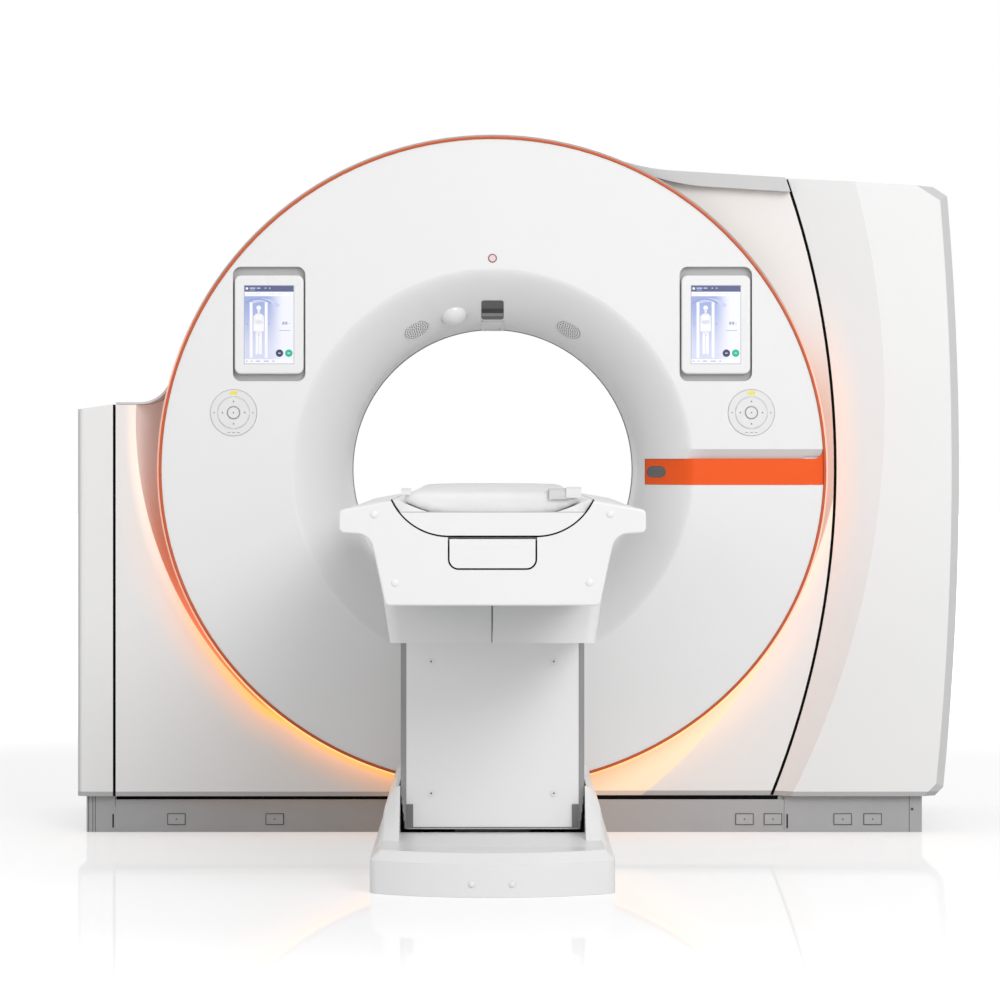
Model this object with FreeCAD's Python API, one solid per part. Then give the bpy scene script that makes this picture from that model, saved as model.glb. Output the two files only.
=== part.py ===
# A computed-tomography scanner: the gantry with its rotor, and the patient table in front of it.
# Millimetres. +Z is up, -Y is the front, +X is the right side seen from the front. The origin lies on
# the floor under the middle of the bore, in the scan plane (y = 0).
import FreeCAD, Part
import os
from math import sin, cos, radians, sqrt, hypot, atan2, pi, acos

V = FreeCAD.Vector

# ---------------------------------------------------------------- driving dimensions: gantry
BORE_R = 410            # radius of the patient opening
ISO_Z = 1017            # height of the bore's axis
DISC_R = 922            # front disc, half width and upper half height
DISC_LOW = 876          # front disc, lower half height: its lower half is an oval
RING_W = 8              # width of the orange accent ring round the disc
RING_PROUD = 4          # how far it stands out in front of the disc
RING_DEPTH = 20         # how far it reaches back from the disc's front
LIGHT_W = 36            # depth of the light strip behind it
LIGHT_OUT = 6           # how far the strip's rim stands out round the ring
FUNNEL_R = 562          # where the front funnel leaves the flat disc
FRONT_Y = -540          # front plane of the disc
COVER_Y = -470          # front plane of the side covers
REAR_Y = 440            # rear plane
THROAT_FRONT = -340     # front end of the bore's cylinder
THROAT_REAR = 90        # rear end of the bore's cylinder
FUNNEL_BEND = 0.83      # shape of the funnel's section: share of its fall where the bend ends,
FUNNEL_TURN = 0.066     # share that is left where it turns into the bore,
FUNNEL_REACH = 0.6      # and share of its depth where that is
WALL = 6                # wall of the moulded covers
DISC_WALL = 10          # wall of the front disc
SHELL_R = 938           # upper drum, outside radius
LIGHT_GAP = 8           # channel between accent ring and front covers
CHANNEL_Y = -300        # bottom of the light channel
FIT = 1                 # clearance between covers
COVER_GAP = 8           # dark joint between the front and side covers
LEFT_X = -1164          # left end of the side cover
LEFT_JOINT_X = -1060    # middle of the left joint
SHOULDER_Z = 1207       # top of the left covers
SHOULDER_R = 90         # hollow round between shoulder and drum
SHOULDER_DROP = 20      # fall of the left side cover's top towards the outside
SKIRT_Z = 103           # bottom of the covers
JOINT_R = 2458          # right joint: radius of its arc
JOINT_X = 964           # right joint: its furthest point
JOINT_Z = 1024          # height of that point
RIGHT_DROP = 118        # fall of the top line from the drum's crown to the right joint
TOP_SLOPE = 3.5         # degrees, fall of the right top line
TOP_SWEEP_R = 600       # hollow round between drum and right top line
LIP = 33                # height of the grey lip of the top cover
RIGHT_X = 1310          # furthest point of the right side cover
RIGHT_TOP_X = 1277      # its upper outer corner
RIGHT_LOW_X = 1266      # its lower outer corner
RIGHT_FLAT = 40         # its top is flat up to here from the corner
RIGHT_CORNER = 26       # height of the sloping corner
RIGHT_LOW_CORNER = 24
RIGHT_FALL = 0.062      # slope of its top
RIGHT_STEP = 40         # how far the right front cover lies behind the left one
CREASE_R = 2416         # crease in the right side cover: radius of its arc
CREASE_X = 1099         # its furthest point
CREASE_Z = 1196         # height of that point
SCOOP_R = 940           # deep edge of the scoops
SCOOP_LIFT = 33         # its centre above the bore's axis
LEFT_SCOOP_DEG = 230    # where the left scoop fades out
LEFT_SCOOP_OUT = 140    # how much larger its front edge is
RIGHT_SCOOP_DEG = 335
RIGHT_SCOOP_OUT = 560
SCOOP_SHIFT = 10        # sideways shift of the deep edges
PLINTH_FRONT = -440     # plinth panels
PLINTH_REAR = 405
PLINTH_LEFT = -1141
PLINTH_RIGHT = 1207
PLINTH_Z = 91           # top of the centre plinth
PLINTH_WALL = 5
COVER_BACK = -150       # rear end of the front covers
ACCESS_X = (-888, -612, 708, 788, 984, 1068)  # access plates in the plinth
ACCESS_Z = 36
ACCESS_W = 49
ACCESS_H = 30
EDGE_R = 24             # soft outer edge of the side covers

# ---------------------------------------------------------------- driving dimensions: controls on the disc
TABLET_X = 622
TABLET_Z = 1422
TABLET_W = 192
TABLET_H = 275
TABLET_T = 26
TABLET_PROUD = 5
TABLET_R = 18
DOCK_MARGIN = 5
DOCK_TOP = 24           # height of the dock recess above the tablet
DOCK_LOW = 20
DOCK_WALL = 4
SCREEN_W = 138
SCREEN_H = 218
SCREEN_T = 2
PAD_X = 721
PAD_Z = 1177
PAD_R = 65
PAD_T = 8
ROCKER_R = 45
BUTTON_R = 18
PAD_CLEAR = 0.6
PRESS = 1.5             # travel of the buttons
BAND_LOW = 976          # orange side band
BAND_TOP = 1048
BAND_X = 430            # start of the band in the funnel
BAND_SINK = 4
LEDGE_H = 28            # sloped ledge above the band
LEDGE_SINK = 14
LEDGE_R = 27            # the band rises round the ledge's end with this radius
LEDGE_X = 545           # the ledge's backing starts here
LAMP_Z = 1607
LAMP_R = 12
EYE_W = 62              # laser windows in the funnel
EYE_LOW = 425           # from the bore's axis
EYE_HIGH = 475
EYE_R = 6
SIDE_EYE_H = 31
SIDE_EYE_SHIFT = 10     # the side window lies this much further out
FIXTURE_Y = -424        # depth of the dome and the speakers on the funnel's wall
DOME_R = 42
DOME_SINK = 19          # the ball's middle behind the wall
DOME_DEG = 104
SPEAKER_DEG = 61.5      # either side, from the horizontal
SPEAKER_R = 38

# ---------------------------------------------------------------- driving dimensions: rotor and drive
ROTOR_IN = 470
ROTOR_R = 860
ROTOR_Y = 110           # front face of the rotor plate
ROTOR_T = 30
RIM_T = 14
RIM_FRONT = 40
BEARING_R = 602         # running gap of the main bearing
BEARING_RING = 42
BEARING_Y = 145
BEARING_GAP = 0.5
STAND_Y = 190
STAND_T = 40
STAND_R = 790
LEG_X = 740             # half width of its legs
TUBE_R = 105
TUBE_AT = 640
TUBE_LEN = 230
DETECTOR_R = 1085
DETECTOR_T = 70
DETECTOR_HALF_DEG = 24
DETECTOR_W = 160
COLLIMATOR_W = 240
BALANCE = 110           # counterweights, depth
BALANCE_W = 180
BALANCE_T = 100
BALANCE_DEG = (153, 207)
BOX_AT = 650            # rotor modules: mean radius
MODULE_DEEP = 250       # generator and heat exchanger
MODULE_W = 340
MODULE_T = 170
SLIP_R = 545
SLIP_IN = 482
SLIP_T = 22
PULLEY_X = -830
PULLEY_Z = 330
PULLEY_R = 80
BELT_Y = 60
BELT_W = 50
BELT_T = 4
BELT_GAP = 0.4
MOTOR_R = 95
MOTOR_LEN = 150
SHAFT_R = 18
ARCH_X = 360            # half width of the opening between the stand's legs
FRAME_H = 80
FRAME_X = 1000
BEAM_W = 120
ANCHOR_POCKET = 68
ANCHOR_FLOOR = 14       # thickness under the anchor pockets
POST_W = 40             # posts under the left shoulder
ANCHOR_X = 900
ANCHOR_Y = 310
ANCHOR_HOLE_R = 11

# ---------------------------------------------------------------- driving dimensions: table
TABLE_FRONT = -2740
TABLE_REAR = -620
RAIL_X = 343.5          # outer side of the rails
RAIL_TOP = 936
RAIL_LOW = 885
RAIL_IN_X = 229
RAIL_IN_Z = 956
BODY_X = 272            # cowl, half width under the rails
BODY_LOW_X = 240
BODY_LOW_Z = 722
COWL_DEPTH = 150
COWL_WALL = 8
COWL_ROUND = 12
TROUGH_Z = 875          # bottom of the tabletop's seam
TROUGH_FLAT = 97
TOP_X = 228             # tabletop, half width
TOP_EDGE_Z = 959
SEAM = 4                # dark gap between tabletop and cowl
CRADLE_REAR = -600
CRADLE_DEPTH = 30       # thickness at the middle
END_CAP_T = 26
END_CAP_Z = 932
MATTRESS_X = 207
MATTRESS_Z = 980
MATTRESS_GAP = 0.5
FLAP_X = 96
FLAP_LOW = 806
FLAP_GAP = 4
FLAP_T = 14
FLAP_R = 20
LOWER_FRONT = -2300     # lower shells
LOWER_REAR = -700
LOWER_TOP_X = 261
LOWER_BOT_X = 241
LOWER_TOP = 752
LOWER_CLEAR = 5
LOWER_BOT = 618
LOWER_WALL = 5
LOWER_ROUND = 26
PANEL_X = 215           # front panel of the pedestal, half width
STRIP_X = 229           # outside of its side strips
PANEL_Y = -1700
PANEL_REAR = -1040
PANEL_LOW = 126
PANEL_TOP = 640
PANEL_T = 6
STEPS = 4               # steps at the lower ends of the pedestal's side plates
STEP_IN = 2.5
STEP_H = 20
STEP_TOP = 207
FOOT_X = 297
FOOT_FRONT = -2113
FOOT_CORNER = -2009
FOOT_REAR = -640
FOOT_SKIRT = 80
FOOT_STEP = 104
FOOT_TOP = 118
FOOT_WALL = 6
FOOT_ROUND = 40
SHOULDER_PEAK = 235     # fairings beside the pedestal
WELL_GAP = 5
FLOOR_PLATE_T = 12
FLOOR_X = 190
TABLE_ANCHOR_X = 150
TABLE_ANCHOR_Y = 230
COLUMN_Y = -1370        # middle of the lifting column
COLUMN_X = 95           # fixed column, half width
COLUMN_D = 120          # half depth
COLUMN_WALL = 10
STAGE_GAP = 3
COLUMN_TOP = 540
STAGE_LOW = 130         # bottom of the middle stage
UPPER_LOW = 440         # bottom of the upper sleeve
FRAME_TOP = 873
FRAME_T = 8
FRAME_SIDE = 242        # outside of the frame's side plates
RAIL_WALL_X = 262       # inside of the rails' side walls, at their top
RAIL_WALL_IN = 18       # how far those walls lean in towards their lower edge
SIDE_LOW = 762          # lower edge of the rails' side walls
SLIDE_GAP = 0.5
LIFT_DOWN = 320         # travel of the table below its rest height
CYL_X = 160
CYL_R = 24
ROD_R = 11

os.makedirs("parts", exist_ok=True)
RIGHT_TOP_Z = ISO_Z + SHELL_R - RIGHT_DROP
BASE = V(0, 0, ISO_Z)
ACROSS = V(0, 1, 0)
REAR_IN = REAR_Y - 10


def save(name, *solids):
    shape = solids[0] if len(solids) == 1 else Part.makeCompound(list(solids))
    shape.exportStep("parts/%s.step" % name)


def box(x0, x1, y0, y1, z0, z1):
    return Part.makeBox(x1 - x0, y1 - y0, z1 - z0, V(x0, y0, z0))


def bar(radius, start, end):
    return Part.makeCylinder(radius, (end - start).Length, start, end - start)


def tube(r_in, r_out, y0, y1, x=0, z=ISO_Z):
    outer = bar(r_out, V(x, y0, z), V(x, y1, z))
    return outer.cut(bar(r_in, V(x, y0 - 1, z), V(x, y1 + 1, z)))


def polar(r, degrees, y):
    return V(r * cos(radians(degrees)), y, ISO_Z + r * sin(radians(degrees)))


# A closed outline seen from the front. A corner is (x, z); a third item marks the middle of an arc.
def face(corners, y=0.0):
    points = [V(c[0], y, c[1]) for c in corners]
    edges = []
    i, n = 0, len(corners)
    while i < n:
        if len(corners[(i + 1) % n]) == 3:
            edges.append(Part.Arc(points[i], points[(i + 1) % n], points[(i + 2) % n]).toShape())
            i += 2
        else:
            edges.append(Part.makeLine(points[i], points[(i + 1) % n]))
            i += 1
    return Part.Face(Part.Wire(edges))


def slab(corners, y0, y1):
    return face(corners, y0).extrude(V(0, y1 - y0, 0))


# Rounds every edge of a shape's front face.
def soft_front(shape, radius):
    front = shape.BoundBox.YMin + 0.5
    return shape.makeFillet(radius, [e for e in shape.Edges if e.BoundBox.YMax < front])


# A plate with rounded corners, seen from the front.
def rounded(x, z, width, height, radius, y0, y1):
    plate = box(x - width / 2, x + width / 2, y0, y1, z - height / 2, z + height / 2)
    upright = [e for e in plate.Edges if abs(e.tangentAt(e.FirstParameter).y) > 0.9]
    return plate.makeFillet(radius, upright)


# The disc's outline: a half circle above the bore's axis and a half oval below, both larger by grow.
def disc_prism(grow, y0, y1):
    wide, low = DISC_R + grow, DISC_LOW + grow
    centre, right, under = V(0, y0, ISO_Z), V(wide, y0, ISO_Z), V(0, y0, ISO_Z - low)
    upper = Part.Arc(right, V(0, y0, ISO_Z + wide), V(-wide, y0, ISO_Z)).toShape()
    if low < wide:
        lower = Part.ArcOfEllipse(Part.Ellipse(right, under, centre), 0, pi)
    else:
        lower = Part.ArcOfEllipse(Part.Ellipse(under, right, centre), -pi / 2, pi / 2)
    outline = Part.Wire(Part.__sortEdges__([upper, lower.toShape()]))
    return Part.Face(outline).extrude(V(0, y1 - y0, 0))


def joint_x(z, shift=0):
    return JOINT_X - JOINT_R + sqrt((JOINT_R + shift) ** 2 - (z - JOINT_Z) ** 2)


# The gantry's outline between its two joints: inset draws in its top, side_inset its sides, and lip lowers
# the right top line.
def body_corners(inset, side_inset, bottom, lip=0):
    left = LEFT_JOINT_X + COVER_GAP / 2 + side_inset
    near = SHELL_R - inset
    # hollow round between the left shoulder and the drum
    round_z = SHOULDER_Z + SHOULDER_R - ISO_Z
    round_x = -sqrt((SHELL_R + SHOULDER_R) ** 2 - round_z**2)
    first = atan2(round_z, round_x)
    small = SHOULDER_R + inset
    turn = (first - pi - pi / 2) / 2
    # hollow round between the drum and the falling line at the right
    slope = radians(TOP_SLOPE)
    wide = TOP_SWEEP_R + inset
    end_x = joint_x(RIGHT_TOP_Z)
    sx = end_x + TOP_SWEEP_R * sin(slope)
    sz = RIGHT_TOP_Z - lip - ISO_Z + TOP_SWEEP_R * cos(slope)
    b = sx * cos(slope) - sz * sin(slope)
    t = b - sqrt(b * b - sx * sx - sz * sz + (SHELL_R + TOP_SWEEP_R) ** 2)
    cx, cz = sx - t * cos(slope), sz + t * sin(slope)
    last = atan2(cz, cx)
    foot = -pi / 2 - slope
    sweep = (last - pi + foot) / 2
    over = (first + last) / 2
    shift = -COVER_GAP / 2 - side_inset
    corner_x = joint_x(RIGHT_TOP_Z - lip - inset, shift)
    corner_z = RIGHT_TOP_Z - lip - inset / cos(slope) + (end_x - corner_x) * sin(slope) / cos(slope)
    mid_z = (corner_z + bottom) / 2
    return [
        (left, bottom),
        (left, SHOULDER_Z - inset),
        (round_x, SHOULDER_Z - inset),
        (round_x + small * cos(turn), ISO_Z + round_z + small * sin(turn), 1),
        (near * cos(first), ISO_Z + near * sin(first)),
        (near * cos(over), ISO_Z + near * sin(over), 1),
        (near * cos(last), ISO_Z + near * sin(last)),
        (cx + wide * cos(sweep), ISO_Z + cz + wide * sin(sweep), 1),
        (cx + wide * cos(foot), ISO_Z + cz + wide * sin(foot)),
        (corner_x, corner_z),
        (joint_x(mid_z, shift), mid_z, 1),
        (joint_x(bottom, shift), bottom),
    ]


# An oblique cone between two circles across the bore's axis, carried on forwards as a cylinder.
def cone(x, z, radius, y, deep_x, deep_z, deep_r, deep_y):
    front = Part.Wire(Part.makeCircle(radius, V(x, y, z), ACROSS))
    deep = Part.Wire(Part.makeCircle(deep_r, V(deep_x, deep_y, deep_z), ACROSS))
    return Part.makeLoft([front, deep], True, True).fuse(bar(radius, V(x, y - 80, z), V(x, y, z)))


# The hollow between a front cover's flat and the light channel. It fades out at the given angle round
# the bore, and grow makes the larger tool that leaves the cover's wall.
def scoop(side, degrees, out, front_y, grow=0):
    x, z = side * SCOOP_SHIFT, ISO_Z + SCOOP_LIFT
    a = radians(degrees)
    body = cone(
        x - out * cos(a), z - out * sin(a), SCOOP_R + out + grow, front_y + grow,
        x, z, SCOOP_R + grow, CHANNEL_Y + grow,
    )
    keep = box(-grow, 3000, -2000, 2000, -3000, 3000)
    keep.rotate(V(0, 0, 0), ACROSS, -(degrees + side * 90))
    keep.translate(BASE)
    return body.common(keep)


# The right scoop is also no deeper than a cone from the joint's arc, so the cover meets the joint flush.
def right_scoop(grow=0):
    front_y = COVER_Y + RIGHT_STEP
    wide = cone(
        JOINT_X - JOINT_R, JOINT_Z, JOINT_R + grow, front_y + grow,
        SCOOP_SHIFT, ISO_Z + SCOOP_LIFT, SCOOP_R + grow, CHANNEL_Y + grow,
    )
    return scoop(1, RIGHT_SCOOP_DEG, RIGHT_SCOOP_OUT, front_y, grow).common(wide)


# ---------------------------------------------------------------- gantry covers
# Poles of a funnel's section, as (radius, y): a tight bend from the flat, a slope, the turn into the bore.
def funnel_poles(flat_y, throat_y):
    fall, span = FUNNEL_R - BORE_R, throat_y - flat_y
    return [(FUNNEL_R, flat_y), (BORE_R + FUNNEL_BEND * fall, flat_y),
            (BORE_R + FUNNEL_TURN * fall, flat_y + FUNNEL_REACH * span), (BORE_R, throat_y)]


def funnel(flat_y, throat_y, thick):
    back = thick if throat_y > flat_y else -thick
    # how much of the wall each pole moves outwards and backwards
    shifts = ((0, 1), (0.4, 1), (1, 0.4), (1, 0))

    def curve(share):
        line = Part.BezierCurve()
        line.setPoles([V(r + share * out * thick, y + share * deep * back, 0)
                       for (r, y), (out, deep) in zip(funnel_poles(flat_y, throat_y), shifts)])
        return line.toShape()

    ends = [
        Part.makeLine(V(BORE_R, throat_y, 0), V(BORE_R + thick, throat_y, 0)),
        Part.makeLine(V(FUNNEL_R, flat_y + back, 0), V(FUNNEL_R, flat_y, 0)),
    ]
    section = Part.Face(Part.Wire(Part.__sortEdges__([curve(0), curve(1)] + ends)))
    shape = section.revolve(V(0, 0, 0), ACROSS, 360)
    shape.translate(BASE)
    return shape


# A tablet's recess in the disc, and the moulded pocket round it.
def tablet_dock(x):
    width = TABLET_W + 2 * DOCK_MARGIN
    height = TABLET_H + DOCK_TOP + DOCK_LOW
    z = TABLET_Z + (DOCK_TOP - DOCK_LOW) / 2
    radius = TABLET_R + DOCK_MARGIN
    floor_y = FRONT_Y + TABLET_T - TABLET_PROUD
    w = DOCK_WALL
    pocket = rounded(x, z, width + 2 * w, height + 2 * w, radius + w, FRONT_Y + DISC_WALL / 2, floor_y + w)
    return pocket, rounded(x, z, width, height, radius, FRONT_Y - 1, floor_y)


# Front view of the orange band, with the horn that rises round the ledge's end.
def band_prism(grow=0):
    y0 = FRONT_Y - 9
    prism = box(BAND_X - grow, DISC_R + 9, y0, THROAT_FRONT, BAND_LOW - grow, BAND_TOP + grow)
    centre_x, centre_z = DISC_R - 2 - LEDGE_R, BAND_TOP + LEDGE_R
    horn = box(centre_x, DISC_R + 9, y0, THROAT_FRONT, BAND_TOP, centre_z + grow)
    end = bar(LEDGE_R - grow, V(centre_x, y0, centre_z), V(centre_x, THROAT_FRONT, centre_z))
    return prism.fuse(horn.cut(end))


def eye_prisms(grow=0):
    high, middle = EYE_HIGH - EYE_LOW + 2 * grow, (EYE_LOW + EYE_HIGH) / 2
    y0 = FRONT_Y - 9
    top = rounded(0, ISO_Z + middle, EYE_W + 2 * grow, high, EYE_R + grow, y0, THROAT_FRONT)
    side = rounded(middle + SIDE_EYE_SHIFT, (BAND_LOW + BAND_TOP) / 2, high, SIDE_EYE_H + 2 * grow,
                   SIDE_EYE_H / 2 + grow - 0.1, y0, THROAT_FRONT)
    return top, side


def through_disc(radius, x, z):
    return bar(radius, V(x, FRONT_Y - 1, z), V(x, FRONT_Y + 3 * DISC_WALL, z))


# The sloped ledge above the band, as the tool that cuts it.
def ledge():
    y0 = FRONT_Y - 1
    rise = LEDGE_H * (LEDGE_SINK + 1) / LEDGE_SINK
    section = Part.makePolygon([V(BAND_X, y0, BAND_TOP), V(BAND_X, FRONT_Y + LEDGE_SINK, BAND_TOP),
                                V(BAND_X, y0, BAND_TOP + rise), V(BAND_X, y0, BAND_TOP)])
    return Part.Face(section).extrude(V(DISC_R + 9 - BAND_X, 0, 0))


def front_cover():
    flat = disc_prism(0, FRONT_Y, FRONT_Y + DISC_WALL)
    flat = flat.cut(bar(FUNNEL_R, V(0, FRONT_Y - 1, ISO_Z), V(0, FRONT_Y + DISC_WALL + 1, ISO_Z)))
    bowl = funnel(FRONT_Y, THROAT_FRONT, DISC_WALL)
    cover = bowl.fuse(flat)
    band = cover.common(band_prism())
    backing = box(LEDGE_X, DISC_R - 2 * LEDGE_R, FRONT_Y + DISC_WALL / 2, FRONT_Y + LEDGE_SINK + WALL,
                  BAND_TOP, BAND_TOP + LEDGE_H + DISC_WALL)
    cover = cover.fuse(backing).cut(band_prism(PAD_CLEAR)).cut(ledge())
    for x in (-TABLET_X, TABLET_X):
        outer, recess = tablet_dock(x)
        cover = cover.fuse(outer).cut(recess)
    for x in (-PAD_X, PAD_X):
        cover = cover.cut(through_disc(PAD_R + PAD_CLEAR, x, PAD_Z))
    cover = cover.cut(through_disc(LAMP_R + PAD_CLEAR, 0, LAMP_Z))
    top_hole, side_hole = eye_prisms(PAD_CLEAR)
    cover = cover.cut([top_hole, dome(PAD_CLEAR)] + speakers(PAD_CLEAR))
    save("front_cover", cover)
    band = band.cut(side_hole)
    top_eye, side_eye = [bowl.common(prism) for prism in eye_prisms()]
    for sunk in (band, side_eye):
        sunk.translate(V(0, BAND_SINK, 0))
    save("side_band", band)
    save("laser_windows", top_eye, side_eye)
    save("sensor_dome", dome())
    save("speaker_grilles", *[bowl.common(speaker) for speaker in speakers()])


# Radius of the front funnel's inner wall at a depth.
def funnel_radius(y):
    poles = funnel_poles(FRONT_Y, THROAT_FRONT)
    low, high = 0.0, 1.0

    def at(item, t):
        weights = ((1 - t) ** 3, 3 * t * (1 - t) ** 2, 3 * t * t * (1 - t), t**3)
        return sum(w * pole[item] for w, pole in zip(weights, poles))

    for _ in range(40):
        middle = (low + high) / 2
        if at(1, middle) < y:
            low = middle
        else:
            high = middle
    return at(0, low)


# A point on the funnel's wall and the direction behind the wall there.
def on_funnel(degrees):
    y, step = FIXTURE_Y, 5
    point = polar(funnel_radius(y), degrees, y)
    along = polar(funnel_radius(y + step), degrees, y + step) - point
    behind = along.cross(V(-sin(radians(degrees)), 0, cos(radians(degrees)))).normalize()
    return point, behind if behind.dot(point - BASE) > 0 else behind * -1


def dome(grow=0):
    point, behind = on_funnel(DOME_DEG)
    return Part.makeSphere(DOME_R + grow, point + behind * DOME_SINK)


def speakers(grow=0):
    spots = [on_funnel(degrees) for degrees in (SPEAKER_DEG, 180 - SPEAKER_DEG)]
    return [bar(SPEAKER_R + grow, point - behind * 25, point + behind * 25) for point, behind in spots]


def accent_ring():
    ring = disc_prism(RING_W, FRONT_Y - RING_PROUD, FRONT_Y + RING_DEPTH)
    save("accent_ring", soft_front(ring.cut(disc_prism(0.5, FRONT_Y - 9, FRONT_Y + RING_DEPTH + 1)), 2.5))


# The translucent light strip behind the accent ring, and the channel behind it that the light falls into.
def light_ring():
    y0, y1 = FRONT_Y + RING_DEPTH, FRONT_Y + RING_DEPTH + LIGHT_W
    inner = disc_prism(RING_W - 6 - WALL, FRONT_Y + DISC_WALL, CHANNEL_Y + 19)
    save("light_ring", disc_prism(RING_W + LIGHT_OUT, y0, y1).cut(inner))
    wall = disc_prism(RING_W - 6, y1, CHANNEL_Y).cut(inner)
    floor = disc_prism(RING_W + LIGHT_GAP - FIT, CHANNEL_Y, CHANNEL_Y + WALL)
    floor = floor.cut(inner)
    ahead = ISO_Z + SHELL_R * 0.2
    shell = bar(SHELL_R - WALL - FIT, V(0, CHANNEL_Y - 1, ISO_Z), V(0, CHANNEL_Y + WALL + 1, ISO_Z))
    above = box(-2000, 2000, CHANNEL_Y - 1, CHANNEL_Y + WALL + 1, ahead, 3000)
    save("light_channel", wall.fuse(floor.cut(above.cut(shell))))


def top_cover():
    bottom = SKIRT_Z
    outer = body_corners(0, 0, bottom)
    inner = body_corners(WALL, -20, bottom - 50)
    lip = body_corners(WALL, -20, bottom - 50, LIP)
    back = COVER_Y + 34
    cover = slab(outer, COVER_Y + 4, back).cut(slab(lip, COVER_Y, back + 1))
    cover = cover.fuse(slab(outer, back, REAR_IN - FIT).cut(slab(inner, back - 1, REAR_IN + 5)))
    save("top_cover", cover.removeSplitter())


def hollow(outer_face_corners, inner_face_corners, front_y, tool, tool_grown):
    opening = disc_prism(RING_W + LIGHT_GAP, front_y - 99, COVER_BACK + 9)
    wall = disc_prism(RING_W + LIGHT_GAP + WALL, front_y - 99, COVER_BACK + 19)
    cover = slab(outer_face_corners, front_y, COVER_BACK).cut(opening).cut(tool)
    space = slab(inner_face_corners, front_y + WALL, COVER_BACK + 9).cut(wall).cut(tool_grown)
    return cover.cut(space)


def front_side_covers():
    top = WALL + FIT
    outer = body_corners(top, 0, SKIRT_Z)
    inner = body_corners(top + WALL, WALL, SKIRT_Z + WALL)
    left_part = box(-3000, -FIT / 2, -2000, 2000, -10, 4000)
    right_part = box(FIT / 2, 3000, -2000, 2000, -10, 4000)
    left = hollow(
        outer, inner, COVER_Y,
        scoop(-1, LEFT_SCOOP_DEG, LEFT_SCOOP_OUT, COVER_Y),
        scoop(-1, LEFT_SCOOP_DEG, LEFT_SCOOP_OUT, COVER_Y, WALL),
    )
    left = left.common(left_part)
    save("left_front_cover", max(left.Solids, key=lambda s: s.Volume))
    lip = LIP - WALL
    outer = body_corners(top, 0, SKIRT_Z, lip)
    inner = body_corners(top + WALL, WALL, SKIRT_Z + WALL, lip)
    right = hollow(outer, inner, COVER_Y + RIGHT_STEP, right_scoop(), right_scoop(WALL))
    right = right.common(right_part)
    save("right_front_cover", max(right.Solids, key=lambda s: s.Volume))


def left_side_cover():
    joint = LEFT_JOINT_X - COVER_GAP / 2
    top_in = SHOULDER_Z - 6
    corners = [(LEFT_X, SKIRT_Z), (LEFT_X, SHOULDER_Z - SHOULDER_DROP), (joint, top_in), (joint, SKIRT_Z)]
    cover = slab(corners, COVER_Y, REAR_IN)
    edges = [e for e in cover.Edges if e.BoundBox.XMax < LEFT_X + 1 and e.BoundBox.ZLength > 100]
    cover = cover.makeFillet(EDGE_R, edges)
    w = WALL
    inner = [(LEFT_X + w, SKIRT_Z + w), (LEFT_X + w, SHOULDER_Z - SHOULDER_DROP - w), (joint + w, top_in - w),
             (joint + w, SKIRT_Z + w)]
    save("left_side_cover", cover.cut(slab(inner, COVER_Y + w, REAR_IN - w)))


def right_corners(inset, out):
    top, low = RIGHT_TOP_Z - inset, SKIRT_Z + inset
    shift = COVER_GAP / 2 + out
    far = RIGHT_TOP_X - RIGHT_FLAT
    edge_z = top - (far - joint_x(RIGHT_TOP_Z)) * RIGHT_FALL
    mid, corner = (top + low) / 2, RIGHT_LOW_CORNER
    return [
        (joint_x(top, shift), top), (far - inset, edge_z), (RIGHT_TOP_X - inset, edge_z - RIGHT_CORNER),
        (RIGHT_X - inset, ISO_Z + 60, 1), (RIGHT_LOW_X - inset, low + corner),
        (RIGHT_LOW_X - inset - corner, low), (joint_x(low, shift), low), (joint_x(mid, shift), mid, 1),
    ]


def right_side_cover():
    cover = slab(right_corners(0, 0), COVER_Y, REAR_IN)
    edges = [e for e in cover.Edges if e.BoundBox.YMax < COVER_Y + 1 and e.BoundBox.XMin > RIGHT_LOW_X - 30]
    cover = cover.makeChamfer(EDGE_R, edges)
    x, z = CREASE_X - CREASE_R, CREASE_Z
    front = COVER_Y + RIGHT_STEP

    def crease(grow):
        return cone(
            x, z, CREASE_R + grow, COVER_Y + grow,
            JOINT_X - JOINT_R, JOINT_Z, JOINT_R + grow, front + grow,
        )

    cover = cover.cut(crease(0))
    space = slab(right_corners(WALL, -COVER_GAP), COVER_Y + EDGE_R, REAR_IN - WALL).cut(crease(WALL * 2))
    save("right_side_cover", cover.cut(space))


def rear_cover():
    plate = slab(body_corners(WALL + FIT, 0, SKIRT_Z), REAR_IN - WALL, REAR_IN)
    plate = plate.cut(bar(FUNNEL_R, V(0, REAR_IN - 20, ISO_Z), V(0, REAR_IN + 20, ISO_Z)))
    save("rear_cover", plate.fuse(funnel(REAR_IN, THROAT_REAR, WALL)))


def bore_liner():
    save("bore_liner", tube(BORE_R, BORE_R + 5, THROAT_FRONT + 0.5, THROAT_REAR - 0.5))


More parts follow.
